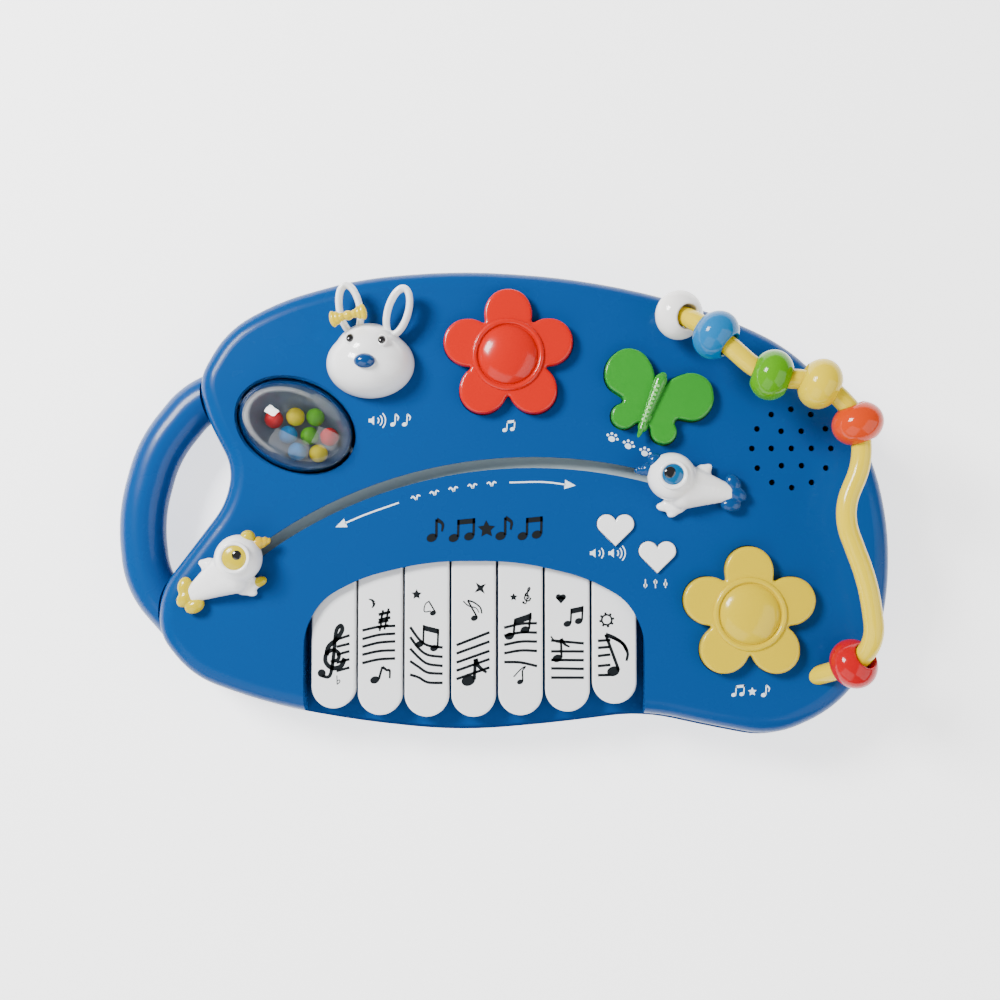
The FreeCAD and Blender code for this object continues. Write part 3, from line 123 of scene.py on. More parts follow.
def metal(name, colour, rough=0.3):
    material = plastic(name, colour, rough, coat=0.0)
    material.node_tree.nodes["Principled BSDF"].inputs["Metallic"].default_value = 1.0
    return material


def clear(name, colour, rough=0.03, thick=1.0):
    """Clear moulded plastic: mostly see-through, with bright reflections."""
    material, nodes, links = principled(name)
    shader = nodes["Principled BSDF"]
    shader.inputs["Base Color"].default_value = (*colour, 1)
    shader.inputs["Roughness"].default_value = rough
    shader.inputs["IOR"].default_value = 1.3
    shader.inputs["Transmission Weight"].default_value = thick
    shader.inputs["Coat Weight"].default_value = 0.5
    shader.inputs["Coat Roughness"].default_value = 0.02
    return material


MATERIALS = {
    "blue_shell": plastic("blue_shell", (0.0002, 0.048, 0.195), 0.27, 0.06, specular=0.12),
    "blue_base": plastic("blue_base", (0.0002, 0.050, 0.205), 0.27, 0.1, specular=0.2),
    "white_plastic": plastic("white_plastic", (0.95, 0.95, 0.95), 0.16, 0.5, 0.05),
    "key_white": plastic("key_white", (0.86, 0.87, 0.88), 0.34, 0.1),
    "red_plastic": plastic("red_plastic", (0.52, 0.006, 0.0006), 0.2, 0.2, specular=0.25),
    "yellow_plastic": plastic("yellow_plastic", (0.62, 0.45, 0.0), 0.2, 0.2, specular=0.25),
    "rod_yellow": plastic("rod_yellow", (0.72, 0.53, 0.0), 0.2, 0.25, specular=0.25),
    "bead_white": plastic("bead_white", (0.95, 0.93, 0.90), 0.12, 0.3, 0.05),
    "bead_blue": plastic("bead_blue", (0.0003, 0.14, 0.36), 0.12, 0.16, specular=0.2),
    "bead_green": plastic("bead_green", (0.07, 0.28, 0.0005), 0.12, 0.16, specular=0.2),
    "bead_yellow": plastic("bead_yellow", (0.68, 0.50, 0.0), 0.12, 0.16, specular=0.2),
    "bead_orange": plastic("bead_orange", (0.56, 0.040, 0.0008), 0.12, 0.16, specular=0.2),
    "bead_red": plastic("bead_red", (0.44, 0.0006, 0.005), 0.12, 0.16, specular=0.2),
    "nose_blue": plastic("nose_blue", (0.0003, 0.040, 0.16), 0.14, 0.4, specular=0.3),
    # The slide track's own grey, made lighter than the plastic itself: painted light against the shade down in the
    # narrow slot.
    "track_grey": plastic("track_grey", (0.38, 0.47, 0.50), 0.45, 0.0),
    "black_rubber": plastic("black_rubber", (0.02, 0.02, 0.02), 0.6, 0.0),
    "grey_rubber": plastic("grey_rubber", (0.35, 0.36, 0.37), 0.6, 0.0),
    "screw_steel": metal("screw_steel", (0.55, 0.55, 0.56)),
    "axle_steel": metal("axle_steel", (0.6, 0.6, 0.62), 0.2),
    "spring_steel": metal("spring_steel", (0.5, 0.5, 0.52)),
    "contact_steel": metal("contact_steel", (0.62, 0.6, 0.55)),
    "magnet_steel": metal("magnet_steel", (0.4, 0.4, 0.42)),
    "circuit_board": plastic("circuit_board", (0.02, 0.16, 0.05), 0.4),
    "components_black": plastic("components_black", (0.02, 0.02, 0.02), 0.45, 0.0),
    "cell_wrap": plastic("cell_wrap", (0.08, 0.08, 0.09), 0.25),
    "paper_cone": plastic("paper_cone", (0.012, 0.013, 0.016), 0.8, 0.0),
    "wire_red": plastic("wire_red", (0.5, 0.02, 0.02), 0.4),
    "black_plastic": plastic("black_plastic", (0.03, 0.03, 0.035), 0.35),
    "green_clear": plastic("green_clear", (0.022, 0.25, 0.018), 0.16, 0.3, 0.3, specular=0.3),
    "clear_drum": clear("clear_drum", (0.93, 0.97, 1.0)),
    "ball_colours": plastic("ball_colours", (0.75, 0.25, 0.05), 0.15, 0.6),
}
# A lighter copy of the butterfly's green: painted highlight for the lumps along its ridge.
BUTTERFLY_PAINTED_HIGHLIGHT = plastic("butterfly_painted_highlight", (0.20, 0.60, 0.15), 0.2, 0.5, 0.3)
PRINT_DARK = plastic("print_dark", (0.006, 0.008, 0.010), 0.6, 0.0, specular=0.1)
PRINT_PALE = plastic("print_pale", (0.72, 0.84, 0.92), 0.5, 0.0)
EYE_BLACK = plastic("eye_black", (0.005, 0.005, 0.006), 0.06, 1.0)
BIRD_YELLOW = plastic("bird_yellow", (0.56, 0.43, 0.0), 0.2, 0.2, specular=0.3)
BIRD_ORANGE = plastic("bird_orange", (0.60, 0.38, 0.0), 0.2, 0.2, specular=0.25)
BIRD_BLUE = plastic("bird_blue", (0.0003, 0.045, 0.17), 0.2, 0.2, specular=0.25)
IRIS_BLUE = plastic("iris_blue", (0.0003, 0.095, 0.25), 0.14, 0.4, specular=0.3)
BOW_YELLOW = plastic("bow_yellow", (0.66, 0.48, 0.0), 0.2, 0.2, specular=0.3)
DRUM_BACK = plastic("drum_back", (0.13, 0.16, 0.21), 0.12, 0.8)

SLOT_OF = {entry["node"]: entry["material_slot"] for entry in frame["record"]["subparts"]}
for node_name, cad_object in frame["nodes"].items():
    cad_object.data.materials.clear()
    cad_object.data.materials.append(MATERIALS[SLOT_OF[node_name]])
frame["nodes"]["drum_lower_half"].data.materials[0] = DRUM_BACK


# ------------------------------------------------------------------ making pieces

ROUND_STEPS = 64


def finish_mesh(name, mesh_data, material, body):
    """A new piece from a bmesh in millimetres."""
    bmesh.ops.recalc_face_normals(mesh_data, faces=mesh_data.faces)
    mesh_data.transform(Matrix.Scale(MM, 4))
    mesh = bpy.data.meshes.new(name)
    mesh_data.to_mesh(mesh)
    mesh_data.free()
    return add_piece(name, mesh, material, body)


def add_piece(name, mesh, material, body):
    for face in mesh.polygons:
        face.use_smooth = True
    mesh.materials.clear()
    mesh.materials.append(material)
    piece = bpy.data.objects.new(name, mesh)
    bpy.context.collection.objects.link(piece)
    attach(piece, body)
    return piece


def baked(piece):
    """Applies a piece's modifiers."""
    bpy.context.view_layer.update()
    graph = bpy.context.evaluated_depsgraph_get()
    mesh = bpy.data.meshes.new_from_object(piece.evaluated_get(graph))
    piece.modifiers.clear()
    piece.data = mesh
    return piece


def flat_edges(piece, degrees=35):
    """Keeps the edges of a flat-sided piece crisp."""
    edge_split = piece.modifiers.new("edges", "EDGE_SPLIT")
    edge_split.split_angle = math.radians(degrees)
    return baked(piece)


def add_ellipsoid(mesh_data, centre, half_sizes, turn=None, rings=24):
    place = Matrix.Translation(Vector(centre)) @ (turn or Matrix.Identity(4))
    place = place @ Matrix.Diagonal((*half_sizes, 1))
    bmesh.ops.create_uvsphere(mesh_data, u_segments=2 * rings, v_segments=rings, radius=1.0,
                              matrix=place)


def ellipsoid(name, centre, half_sizes, material, body, turn=None):
    mesh_data = bmesh.new()
    add_ellipsoid(mesh_data, centre, half_sizes, turn)
    return finish_mesh(name, mesh_data, material, body)


def melted(piece, voxel, rounds):
    """Joins a piece's overlapping solids into one skin and softens its edges."""
    remesh = piece.modifiers.new("melt", "REMESH")
    remesh.mode = "VOXEL"
    remesh.voxel_size = voxel * MM
    remesh.use_smooth_shade = True
    smooth = piece.modifiers.new("smooth", "SMOOTH")
    smooth.factor = 0.5
    smooth.iterations = rounds
    return baked(piece)


def blended(name, lumps, material, body, voxel=0.6, rounds=10, floor=None):
    """Ellipsoids melted into one smooth skin. Each lump is centre, half sizes and turn."""
    mesh_data = bmesh.new()
    for centre, half_sizes, turn in lumps:
        add_ellipsoid(mesh_data, centre, half_sizes, turn)
    piece = melted(finish_mesh(name, mesh_data, material, body), voxel, rounds)
    if floor is not None:
        for vertex in piece.data.vertices:
            vertex.co.z = max(vertex.co.z, floor * MM)
    return piece


def add_bar(mesh_data, points, radii, sides=16, closed=False):
    """A round bar through points, with a radius at each of them and closed ends."""
    count = len(points)
    rings = []
    for k, point in enumerate(points):
        before = points[k - 1] if k or closed else point
        after = points[(k + 1) % count] if k < count - 1 or closed else point
        ahead = (after - before).normalized()
        side = ahead.cross(Vector((0, 0, 1)))
        side = side.normalized() if side.length > 0.05 else Vector((1, 0, 0))
        up = side.cross(ahead)
        ring = []
        for j in range(sides):
            angle = 2 * math.pi * j / sides
            offset = side * math.cos(angle) * radii[k][0] + up * math.sin(angle) * radii[k][1]
            ring.append(mesh_data.verts.new(point + offset))
        rings.append(ring)
    spans = count if closed else count - 1
    for k in range(spans):
        near, far = rings[k], rings[(k + 1) % count]
        for j in range(sides):
            mesh_data.faces.new((near[j], near[(j + 1) % sides], far[(j + 1) % sides], far[j]))
    if not closed:
        mesh_data.faces.new(rings[0])
        mesh_data.faces.new(rings[-1])


def ellipse_points(centre, half_long, half_wide, turn, z, count=ROUND_STEPS):
    spots = []
    for k in range(count):
        angle = 2 * math.pi * k / count
        x, y = half_long * math.cos(angle), half_wide * math.sin(angle)
        spots.append(Vector((centre[0] + x * math.cos(turn) - y * math.sin(turn),
                             centre[1] + x * math.sin(turn) + y * math.cos(turn), z)))
    return spots


# ------------------------------------------------------------------ printed marks

PRINT_THICKNESS = 0.09
PRINT_SINK = 0.03


def smooth_line(points, steps=8):
    """Points along a smooth line through the given ones."""
    if len(points) < 3:
        return [Vector(p) for p in points]
    spots = [Vector(p) for p in points]
    padded = [spots[0] * 2 - spots[1]] + spots + [spots[-1] * 2 - spots[-2]]
    result = []
    for a, b, c, d in zip(padded, padded[1:], padded[2:], padded[3:]):
        for k in range(steps):
            t = k / steps
            result.append(0.5 * (2 * b + (c - a) * t + (2 * a - 5 * b + 4 * c - d) * t * t
                                 + (3 * b - a - 3 * c + d) * t ** 3))
    result.append(spots[-1])
    return result


class Print:
    """Flat marks printed on a level surface, each a thin closed plate."""

    def __init__(self, origin, level, turn=0.0, scale=1.0):
        self.origin = Vector(origin)
        self.level = level
        self.turn = Matrix.Rotation(turn, 2)
        self.scale = scale
        self.mesh = bmesh.new()

    def corner(self, point, z):
        x, y = self.origin + self.turn @ (Vector(point) * self.scale)
        return self.mesh.verts.new((x, y, self.level + z))

    def plate(self, points):
        low = [self.corner(p, -PRINT_SINK) for p in points]
        high = [self.corner(p, PRINT_THICKNESS) for p in points]
        self.mesh.faces.new(high)
        self.mesh.faces.new(list(reversed(low)))
        count = len(points)
        for k in range(count):
            after = (k + 1) % count
            self.mesh.faces.new((low[k], low[after], high[after], high[k]))

    def stroke(self, points, width, end_width=None):
        """A line of even or tapering width, as a row of quads."""
        spots = smooth_line(points)
        last = len(spots) - 1
        end_width = width if end_width is None else end_width
        edges = []
        for k, spot in enumerate(spots):
            ahead = spots[min(k + 1, last)] - spots[max(k - 1, 0)]
            side = Vector((-ahead.y, ahead.x)).normalized()
            half = (width + (end_width - width) * k / last) / 2
            left, right = spot + side * half, spot - side * half
            edges.append([self.corner(left, -PRINT_SINK), self.corner(right, -PRINT_SINK),
                          self.corner(right, PRINT_THICKNESS), self.corner(left, PRINT_THICKNESS)])
        for near, far in zip(edges, edges[1:]):
            for j in range(4):
                after = (j + 1) % 4
                self.mesh.faces.new((near[j], near[after], far[after], far[j]))
        self.mesh.faces.new(edges[0])
        self.mesh.faces.new(edges[-1])

    def disc(self, centre, half_x, half_y=None, turn=0.0, count=28):
        half_y = half_x if half_y is None else half_y
        spots = []
        for k in range(count):
            angle = 2 * math.pi * k / count
            x, y = half_x * math.cos(angle), half_y * math.sin(angle)
            spots.append((centre[0] + x * math.cos(turn) - y * math.sin(turn),
                          centre[1] + x * math.sin(turn) + y * math.cos(turn)))
        self.plate(spots)

    def ring(self, centre, radius, width, count=28):
        spots = [(centre[0] + radius * math.cos(2 * math.pi * k / count),
                  centre[1] + radius * math.sin(2 * math.pi * k / count)) for k in range(count)]
        self.stroke(spots + spots[:1], width)

    def star(self, centre, radius, inner=0.5, points=5, turn=90.0):
        spots = []
        for k in range(2 * points):
            angle = math.radians(turn + 180.0 * k / points)
            reach = radius if k % 2 == 0 else radius * inner
            spots.append((centre[0] + reach * math.cos(angle), centre[1] + reach * math.sin(angle)))
        self.plate(spots)

    def heart(self, centre, radius):
        x, y = centre
        self.disc((x - radius * 0.45, y + radius * 0.3), radius * 0.55)
        self.disc((x + radius * 0.45, y + radius * 0.3), radius * 0.55)
        self.plate([(x - radius * 0.93, y + radius * 0.03), (x, y - radius),
                    (x + radius * 0.93, y + radius * 0.03), (x, y + radius * 0.5)])

    def head(self, centre, size, turn=0.35):
        self.disc(centre, size, size * 0.76, turn)

    def note(self, centre, size, stem, flag=(), flag_width=None):
        """One note: a head, a stem to a point and a curled flag."""
        self.head(centre, size)
        root = (centre[0] + size * 0.86, centre[1] + size * 0.15)
        self.stroke([root, stem], size * 0.48)
        if flag:
            self.stroke([stem, *flag], flag_width or size * 0.8, size * 0.36)

    def beamed(self, left, right, size, lift, beam):
        """Two notes joined by a thick beam; lift is the stems' height."""
        tops = []
        for centre in (left, right):
            self.head(centre, size)
            root = (centre[0] + size * 0.86, centre[1] + size * 0.2)
            top = (root[0] + lift[0], root[1] + lift[1])
            self.stroke([root, top], size * 0.48)
            tops.append(top)
        half = size * 0.24
        (ax, ay), (bx, by) = tops
        self.plate([(ax - half, ay - beam), (bx + half, by - beam), (bx + half, by), (ax - half, ay)])

    def clef(self, centre, size):
        """A generic treble clef: a curl round the middle and a long upright loop."""
        x, y = centre

        def at(px, py):
            return (x + px * size, y + py * size)

        self.stroke([at(-0.05, -0.12), at(0.20, -0.02), at(0.22, 0.20), at(0.02, 0.30), at(-0.20, 0.16),
                     at(-0.22, -0.12), at(0.0, -0.32), at(0.30, -0.26), at(0.44, 0.02)], 0.12 * size,
                    0.17 * size)
        self.stroke([at(-0.20, 0.12), at(-0.12, 0.42), at(0.16, 0.68), at(0.34, 0.98), at(0.30, 1.14),
                     at(0.16, 1.02), at(0.10, 0.70), at(0.06, 0.2), at(-0.02, -0.40), at(-0.12, -0.62),
                     at(-0.34, -0.60)], 0.17 * size, 0.11 * size)
        self.disc(at(-0.36, -0.50), 0.14 * size)

    def sharp(self, centre, size):
        x, y = centre
        for side in (-0.28, 0.28):
            self.stroke([(x + side * size - 0.14 * size, y - 0.7 * size + side * size * 0.3),
                         (x + side * size + 0.14 * size, y + 0.7 * size + side * size * 0.3)], 0.22 * size)
            self.stroke([(x - 0.6 * size, y + side * size - 0.12 * size),
                         (x + 0.6 * size, y + side * size + 0.16 * size)], 0.3 * size)

    def flat(self, centre, size):
        x, y = centre
        self.stroke([(x - 0.25 * size, y + size), (x - 0.2 * size, y - 0.5 * size)], 0.14 * size)
        self.stroke([(x - 0.2 * size, y + 0.1 * size), (x + 0.2 * size, y + 0.25 * size),
                     (x + 0.22 * size, y - 0.1 * size), (x - 0.2 * size, y - 0.5 * size)], 0.14 * size)

    def made(self, name, material, body):
        return flat_edges(finish_mesh(name, self.mesh, material, body))


STAFF_WIDTH = 1.35


def staff(marks, lefts, rights, left_x, right_x, bulge=0.0):
    for low, high in zip(lefts, rights):
        marks.stroke([(left_x, low), ((left_x + right_x) / 2, (low + high) / 2 + bulge), (right_x, high)],
                     STAFF_WIDTH)


def key_print(number):
    """The marks of one key, measured from the middle of its front end."""
    low, high = box_mm(f"key_{number}")
    marks = Print(((low.x + high.x) / 2, low.y), KEY_TOP)
    if number == 1:
        marks.clef((-0.6, 25.0), 14.6)
        staff(marks, (18.8, 23.0, 27.0, 31.0, 34.6), (20.6, 24.8, 28.8, 32.6, 36.8), 1.6, 8.2)
        marks.flat((2.6, 13.6), 3.0)
    elif number == 2:
        marks.stroke([(-5.8, 58.2), (-4.0, 57.6), (-3.2, 56.4)], 0.5, 1.7)
        marks.stroke([(-3.2, 56.4), (-3.3, 55.0), (-4.2, 53.8)], 1.7, 0.5)
        marks.sharp((2.2, 49.6), 5.0)
        marks.sharp((1.6, 45.6), 4.4)
        staff(marks, (26.0, 30.2, 34.2, 38.1, 42.4), (28.4, 32.5, 37.0, 40.9, 44.8), -9.0, 7.7, 0.7)
        marks.note((-2.6, 17.6), 2.4, (1.2, 24.2), [(3.4, 22.6), (4.9, 22.4), (5.0, 18.4)], 1.5)
    elif number == 3:
        marks.star((-5.2, 61.4), 2.7)
        marks.note((3.1, 52.0), 1.6, (1.0, 58.0), [(-0.9, 56.2), (-1.2, 52.8), (2.0, 53.0)], 0.5)
        for left, mid, right in ((45.0, 37.6, 34.7), (40.0, 32.8, 30.0), (34.2, 28.3, 25.5),
                                 (27.9, 23.5, 21.6), (21.1, 18.3, 17.0)):
            marks.stroke([(-8.4, left), (-4.0, mid + 1.4), (0.6, (mid + right) / 2 - 0.4), (8.1, right)],
                         STAFF_WIDTH)
        marks.beamed((-3.6, 36.4), (3.7, 34.4), 2.1, (0.3, 9.2), 2.7)
    elif number == 4:
        marks.star((3.4, 64.6), 3.7, 0.34, 4, 38.0)
        marks.note((0.4, 49.5), 1.8, (-3.0, 58.4), [(0.2, 57.4), (3.4, 54.8), (4.2, 51.8)], 0.9)
        marks.stroke([(-5.2, 58.0), (-2.4, 55.6), (1.2, 54.6), (2.8, 52.2)], 0.7, 0.4)
        staff(marks, (18.9, 23.1, 27.2, 31.7, 35.9), (24.8, 29.0, 33.1, 37.8, 42.4), -8.6, 8.1)
        marks.note((-2.6, 18.2), 3.5, (0.9, 29.0), [(2.6, 25.4), (6.6, 22.2)], 2.6)
    elif number == 5:
        marks.star((-3.4, 59.2), 2.1)
        marks.clef((3.2, 58.8), 4.6)
        staff(marks, (26.6, 31.0, 35.2, 39.8, 43.8), (24.6, 32.2, 36.9, 41.4, 46.1), -8.2, 8.4, 0.8)
        marks.beamed((-5.5, 39.6), (2.3, 42.7), 2.4, (0.8, 8.2), 3.3)
        marks.note((-0.2, 16.7), 1.6, (1.0, 22.4), [(2.6, 24.4), (0.2, 23.0), (-3.4, 19.2)], 0.6)
    elif number == 6:
        marks.heart((-3.2, 56.6), 2.6)
        marks.beamed((0.0, 43.9), (5.7, 45.3), 2.0, (0.3, 7.2), 2.8)
        staff(marks, (17.0, 21.6, 25.8, 30.1, 35.6), (17.0, 21.4, 25.7, 30.1, 34.1), -8.2, 8.3)
        marks.note((-5.1, 26.6), 2.5, (-3.2, 36.4), [(-1.2, 33.6), (1.2, 32.4)], 1.8)
        marks.stroke([(-8.3, 37.6), (-6.0, 35.0), (-3.0, 34.4)], 0.8, 0.5)
    else:
        marks.ring((-3.8, 41.9), 2.5, 0.9)
        for k in range(8):
            angle = math.pi * k / 4 + 0.2
            reach = Vector((math.cos(angle), math.sin(angle)))
            centre = Vector((-3.8, 41.9))
            marks.stroke([centre + reach * 2.8, centre + reach * 3.8], 1.1)
        staff(marks, (14.2, 18.8, 23.8, 27.9, 31.4), (14.4, 19.4, 24.6, 28.4, 31.8), -8.3, -2.0)
        marks.note((-0.6, 16.2), 3.2, (-4.4, 34.6),
                   [(0.8, 32.4), (4.8, 29.4), (6.6, 25.2), (6.0, 21.4)], 2.2)
        marks.stroke([(-1.4, 33.0), (3.2, 31.0), (6.2, 26.6)], 0.6, 1.6)
    return marks.made(f"key_{number}_print", PRINT_DARK, f"key_{number}")


for number in range(1, 8):
    key_print(number)


# ------------------------------------------------------------------ marks on the panel

pivot = Vector(joints["left_bird_slide"]["pos_m"]) / MM


def arc_spot(degrees, reach):
    angle = math.radians(degrees)
    return Vector((pivot.x + reach * math.cos(angle), pivot.y + reach * math.sin(angle)))


def arrow(name, points, tip_size):
    """A pale curved arrow whose last point is its tip."""
    marks = Print((0, 0), PANEL)
    tail, tip = Vector(points[-2]), Vector(points[-1])
    ahead = (tip - tail).normalized()
    side = Vector((-ahead.y, ahead.x))
    base = tip - ahead * tip_size
    marks.stroke([*points[:-1], base + ahead * 0.4], 0.8)
    marks.plate([tip, base - side * tip_size * 0.42, base + side * tip_size * 0.42])
    marks.made(name, PRINT_PALE, "root")


arrow("arrow_left", [arc_spot(107.5, 222.8), arc_spot(111.9, 222.9), arc_spot(116.3, 223.3)], 5.6)
arrow("arrow_right", [arc_spot(92.9, 222.9), arc_spot(88.6, 222.9), arc_spot(84.3, 222.1)], 5.6)


def waves(marks, centre, first, count, spread=0.75, width=0.6):
    """Sound waves: arcs one outside the other."""
    for k in range(count):
        reach = first + 1.7 * k
        points = [(centre[0] + reach * math.cos(a), centre[1] + reach * math.sin(a))
                  for a in (-spread, -spread / 2, 0.0, spread / 2, spread)]
        marks.stroke(points, width)


def loudspeaker(marks, x, y):
    marks.plate([(x - 1.6, y - 0.9), (x - 0.4, y - 0.9), (x + 1.1, y - 2.2), (x + 1.1, y + 2.2),
                 (x - 0.4, y + 0.9), (x - 1.6, y + 0.9)])


def pictograms():
    """Plain picture signs beside each control."""
    rabbit = Print((-56.0, 40.0), PANEL)
    loudspeaker(rabbit, -8.0, 0.0)
    waves(rabbit, (-6.5, 0.0), 2.0, 3)
    rabbit.note((2.6, -2.0), 1.3, (3.9, 3.2), [(5.4, 1.8), (5.0, 0.0)], 0.9)
    rabbit.note((8.6, -2.0), 1.3, (9.9, 3.2), [(11.4, 1.8), (11.0, 0.0)], 0.9)
    rabbit.made("rabbit_sign", PRINT_PALE, "root")

    red = Print((5.2, 36.4), PANEL)
    red.beamed((-2.0, -1.4), (1.8, -0.9), 1.2, (0.2, 4.4), 1.3)
    red.made("red_flower_sign", PRINT_PALE, "root")

    paw = Print((65.6, 27.6), PANEL, math.radians(-24))
    for x in (-9.0, 0.0, 9.0):
        paw.disc((x, -1.0), 1.7, 1.35)
        for k in range(4):
            angle = math.radians(25 + 43 * k)
            paw.disc((x + 2.9 * math.cos(angle), -1.2 + 2.9 * math.sin(angle)), 0.68)
    paw.made("butterfly_sign", PRINT_PALE, "root")

    for k, degrees in enumerate((105.2, 102.7, 100.2, 97.7, 95.2)):
        wing = Print(arc_spot(degrees, 222.2), PANEL, math.radians(degrees - 90))
        wing.stroke([(-2.4, 0.9), (-1.2, 1.5), (0.0, -0.4)], 0.6, 1.0)
        wing.stroke([(2.4, 0.9), (1.2, 1.5), (0.0, -0.4)], 0.6, 1.0)
        wing.made(f"bird_sign_{k + 1}", PRINT_PALE, "root")

    volume = Print((51.5, -27.0), PANEL)
    loudspeaker(volume, -4.0, 0.0)
    waves(volume, (-2.6, 0.0), 2.0, 2)
    loudspeaker(volume, 5.2, 0.0)
    waves(volume, (6.6, 0.0), 2.0, 3)
    volume.made("volume_sign", PRINT_PALE, "root")

    tone = Print((78.5, -42.2), PANEL)
    for k in range(3):
        tone.stroke([(-5 + 5 * k, -2.2), (-5 + 5 * k, 2.2)], 0.5)
        tone.disc((-5 + 5 * k, (-0.9, 0.8, -0.2)[k]), 0.95)
    tone.made("tone_sign", PRINT_PALE, "root")

    rhyme = Print((125.6, -96.0), PANEL)
    rhyme.beamed((-8.6, -1.4), (-4.6, -1.0), 1.2, (0.2, 4.4), 1.3)
    rhyme.star((0.6, 0.2), 2.2)
    rhyme.note((6.2, -1.4), 1.3, (7.5, 3.4), [(9.0, 2.0), (8.6, 0.2)], 0.9)
    rhyme.made("yellow_flower_sign", PRINT_PALE, "root")

    black = Print((-7.6, -15.4), PANEL, math.radians(1.5))
    black.note((-26.0, -3.2), 2.7, (-23.4, 6.0), [(-20.4, 3.6), (-20.8, -0.2)], 2.2)
    black.beamed((-15.0, -3.6), (-7.2, -3.0), 2.6, (0.4, 8.6), 2.6)
    black.star((1.6, 0.4), 4.6)
    black.note((8.6, -3.2), 2.7, (11.2, 6.0), [(14.2, 3.6), (13.8, -0.2)], 2.2)
    black.beamed((19.6, -3.6), (26.8, -3.0), 2.6, (0.4, 8.6), 2.6)
    black.made("front_sign", PRINT_DARK, "root")


pictograms()


# ------------------------------------------------------------------ flowers

def add_disc(mesh_data, centre, radius, low, high):
    place = Matrix.Translation((centre[0], centre[1], (low + high) / 2))
    bmesh.ops.create_cone(mesh_data, cap_ends=True, segments=ROUND_STEPS, radius1=radius, radius2=radius,
                          depth=high - low, matrix=place)


FLOWER_MIDDLE_FROM_REAR = 34.9
FLOWER_EDGE = PANEL + 6.0
FLOWER_FOOT = PANEL - 4.0
FLOWER_WAIST = PANEL + 0.6
FLOWER_RING = 16.8


def flower(name, node_name, material):
    """Five soft petals round a raised ring and a dome."""
    low, high = box_mm(node_name)
    x = (low.x + high.x) / 2
    y = high.y - FLOWER_MIDDLE_FROM_REAR
    mesh_data = bmesh.new()
    add_disc(mesh_data, (x, y), 17.5, FLOWER_FOOT, FLOWER_EDGE)
    add_disc(mesh_data, (x, y), 18.8, FLOWER_WAIST, FLOWER_EDGE + 0.2)
    for k in range(5):
        angle = math.radians(90 + 72 * k)
        along = Vector((math.cos(angle), math.sin(angle)))
        add_disc(mesh_data, Vector((x, y)) + along * 21.8, 11.9, FLOWER_FOOT, FLOWER_EDGE)
        add_disc(mesh_data, Vector((x, y)) + along * 21.0, 12.2, FLOWER_WAIST, FLOWER_EDGE)
    petals = melted(finish_mesh(f"{name}_petals", mesh_data, material, node_name), 0.6, 40)
    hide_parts(node_name)
    ring_mesh = bmesh.new()
    route = ellipse_points((x, y), FLOWER_RING, FLOWER_RING, 0, FLOWER_EDGE)
    add_bar(ring_mesh, route, [(1.5, 1.5)] * len(route), 16, True)
    finish_mesh(f"{name}_ring", ring_mesh, material, node_name)
    dome = bmesh.new()
    add_ellipsoid(dome, (x, y, FLOWER_EDGE - 0.8), (15.2, 15.2, 5.6), None, 32)
    finish_mesh(f"{name}_dome", dome, material, node_name)


flower("red_flower", "red_flower_button", MATERIALS["red_plastic"])
flower("yellow_flower", "yellow_flower_button", MATERIALS["yellow_plastic"])


# ------------------------------------------------------------------ butterfly

BUTTERFLY_TURN = math.radians(-21.9)


def butterfly():
    """A pointed body along the middle of the wings, with small lighter-green lumps down its ridge as painted
    highlights.
    """
    low, high = box_mm("butterfly_button")
    x, y = (low.x + high.x) / 2 - 4.0, (low.y + high.y) / 2 - 3.7
    top = high.z - 2.0
    turn = Matrix.Rotation(BUTTERFLY_TURN, 4, "Z")

    def at(across, along, up=0.0):
        return Vector((x, y, top + up)) + turn @ Vector((across, along, 0))

    lumps = [(at(0, 12.0 - 2.1 * k, 0.6), (3.3 - 0.14 * k, 4.0, 2.5 - 0.08 * k), turn)
             for k in range(13)]
    lumps.append((at(0, -15.6, 0.4), (1.3, 3.2, 1.1), turn))
    blended("butterfly_body", lumps, MATERIALS["green_clear"], "butterfly_button", 0.4, 6)
    # Lighter-green lumps along the ridge: painted highlights on the body.
    for k in range(9):
        ellipsoid(f"butterfly_highlight_lump_{k + 1}", at(-0.6, 8.8 - 2.3 * k, 3.0 - 0.1 * k), (1.3, 0.85, 0.7),
                  BUTTERFLY_PAINTED_HIGHLIGHT, "butterfly_button", turn)


butterfly()


# ------------------------------------------------------------------ rabbit

EAR_HEIGHT = 8.0
EAR_LEAN = 0.22


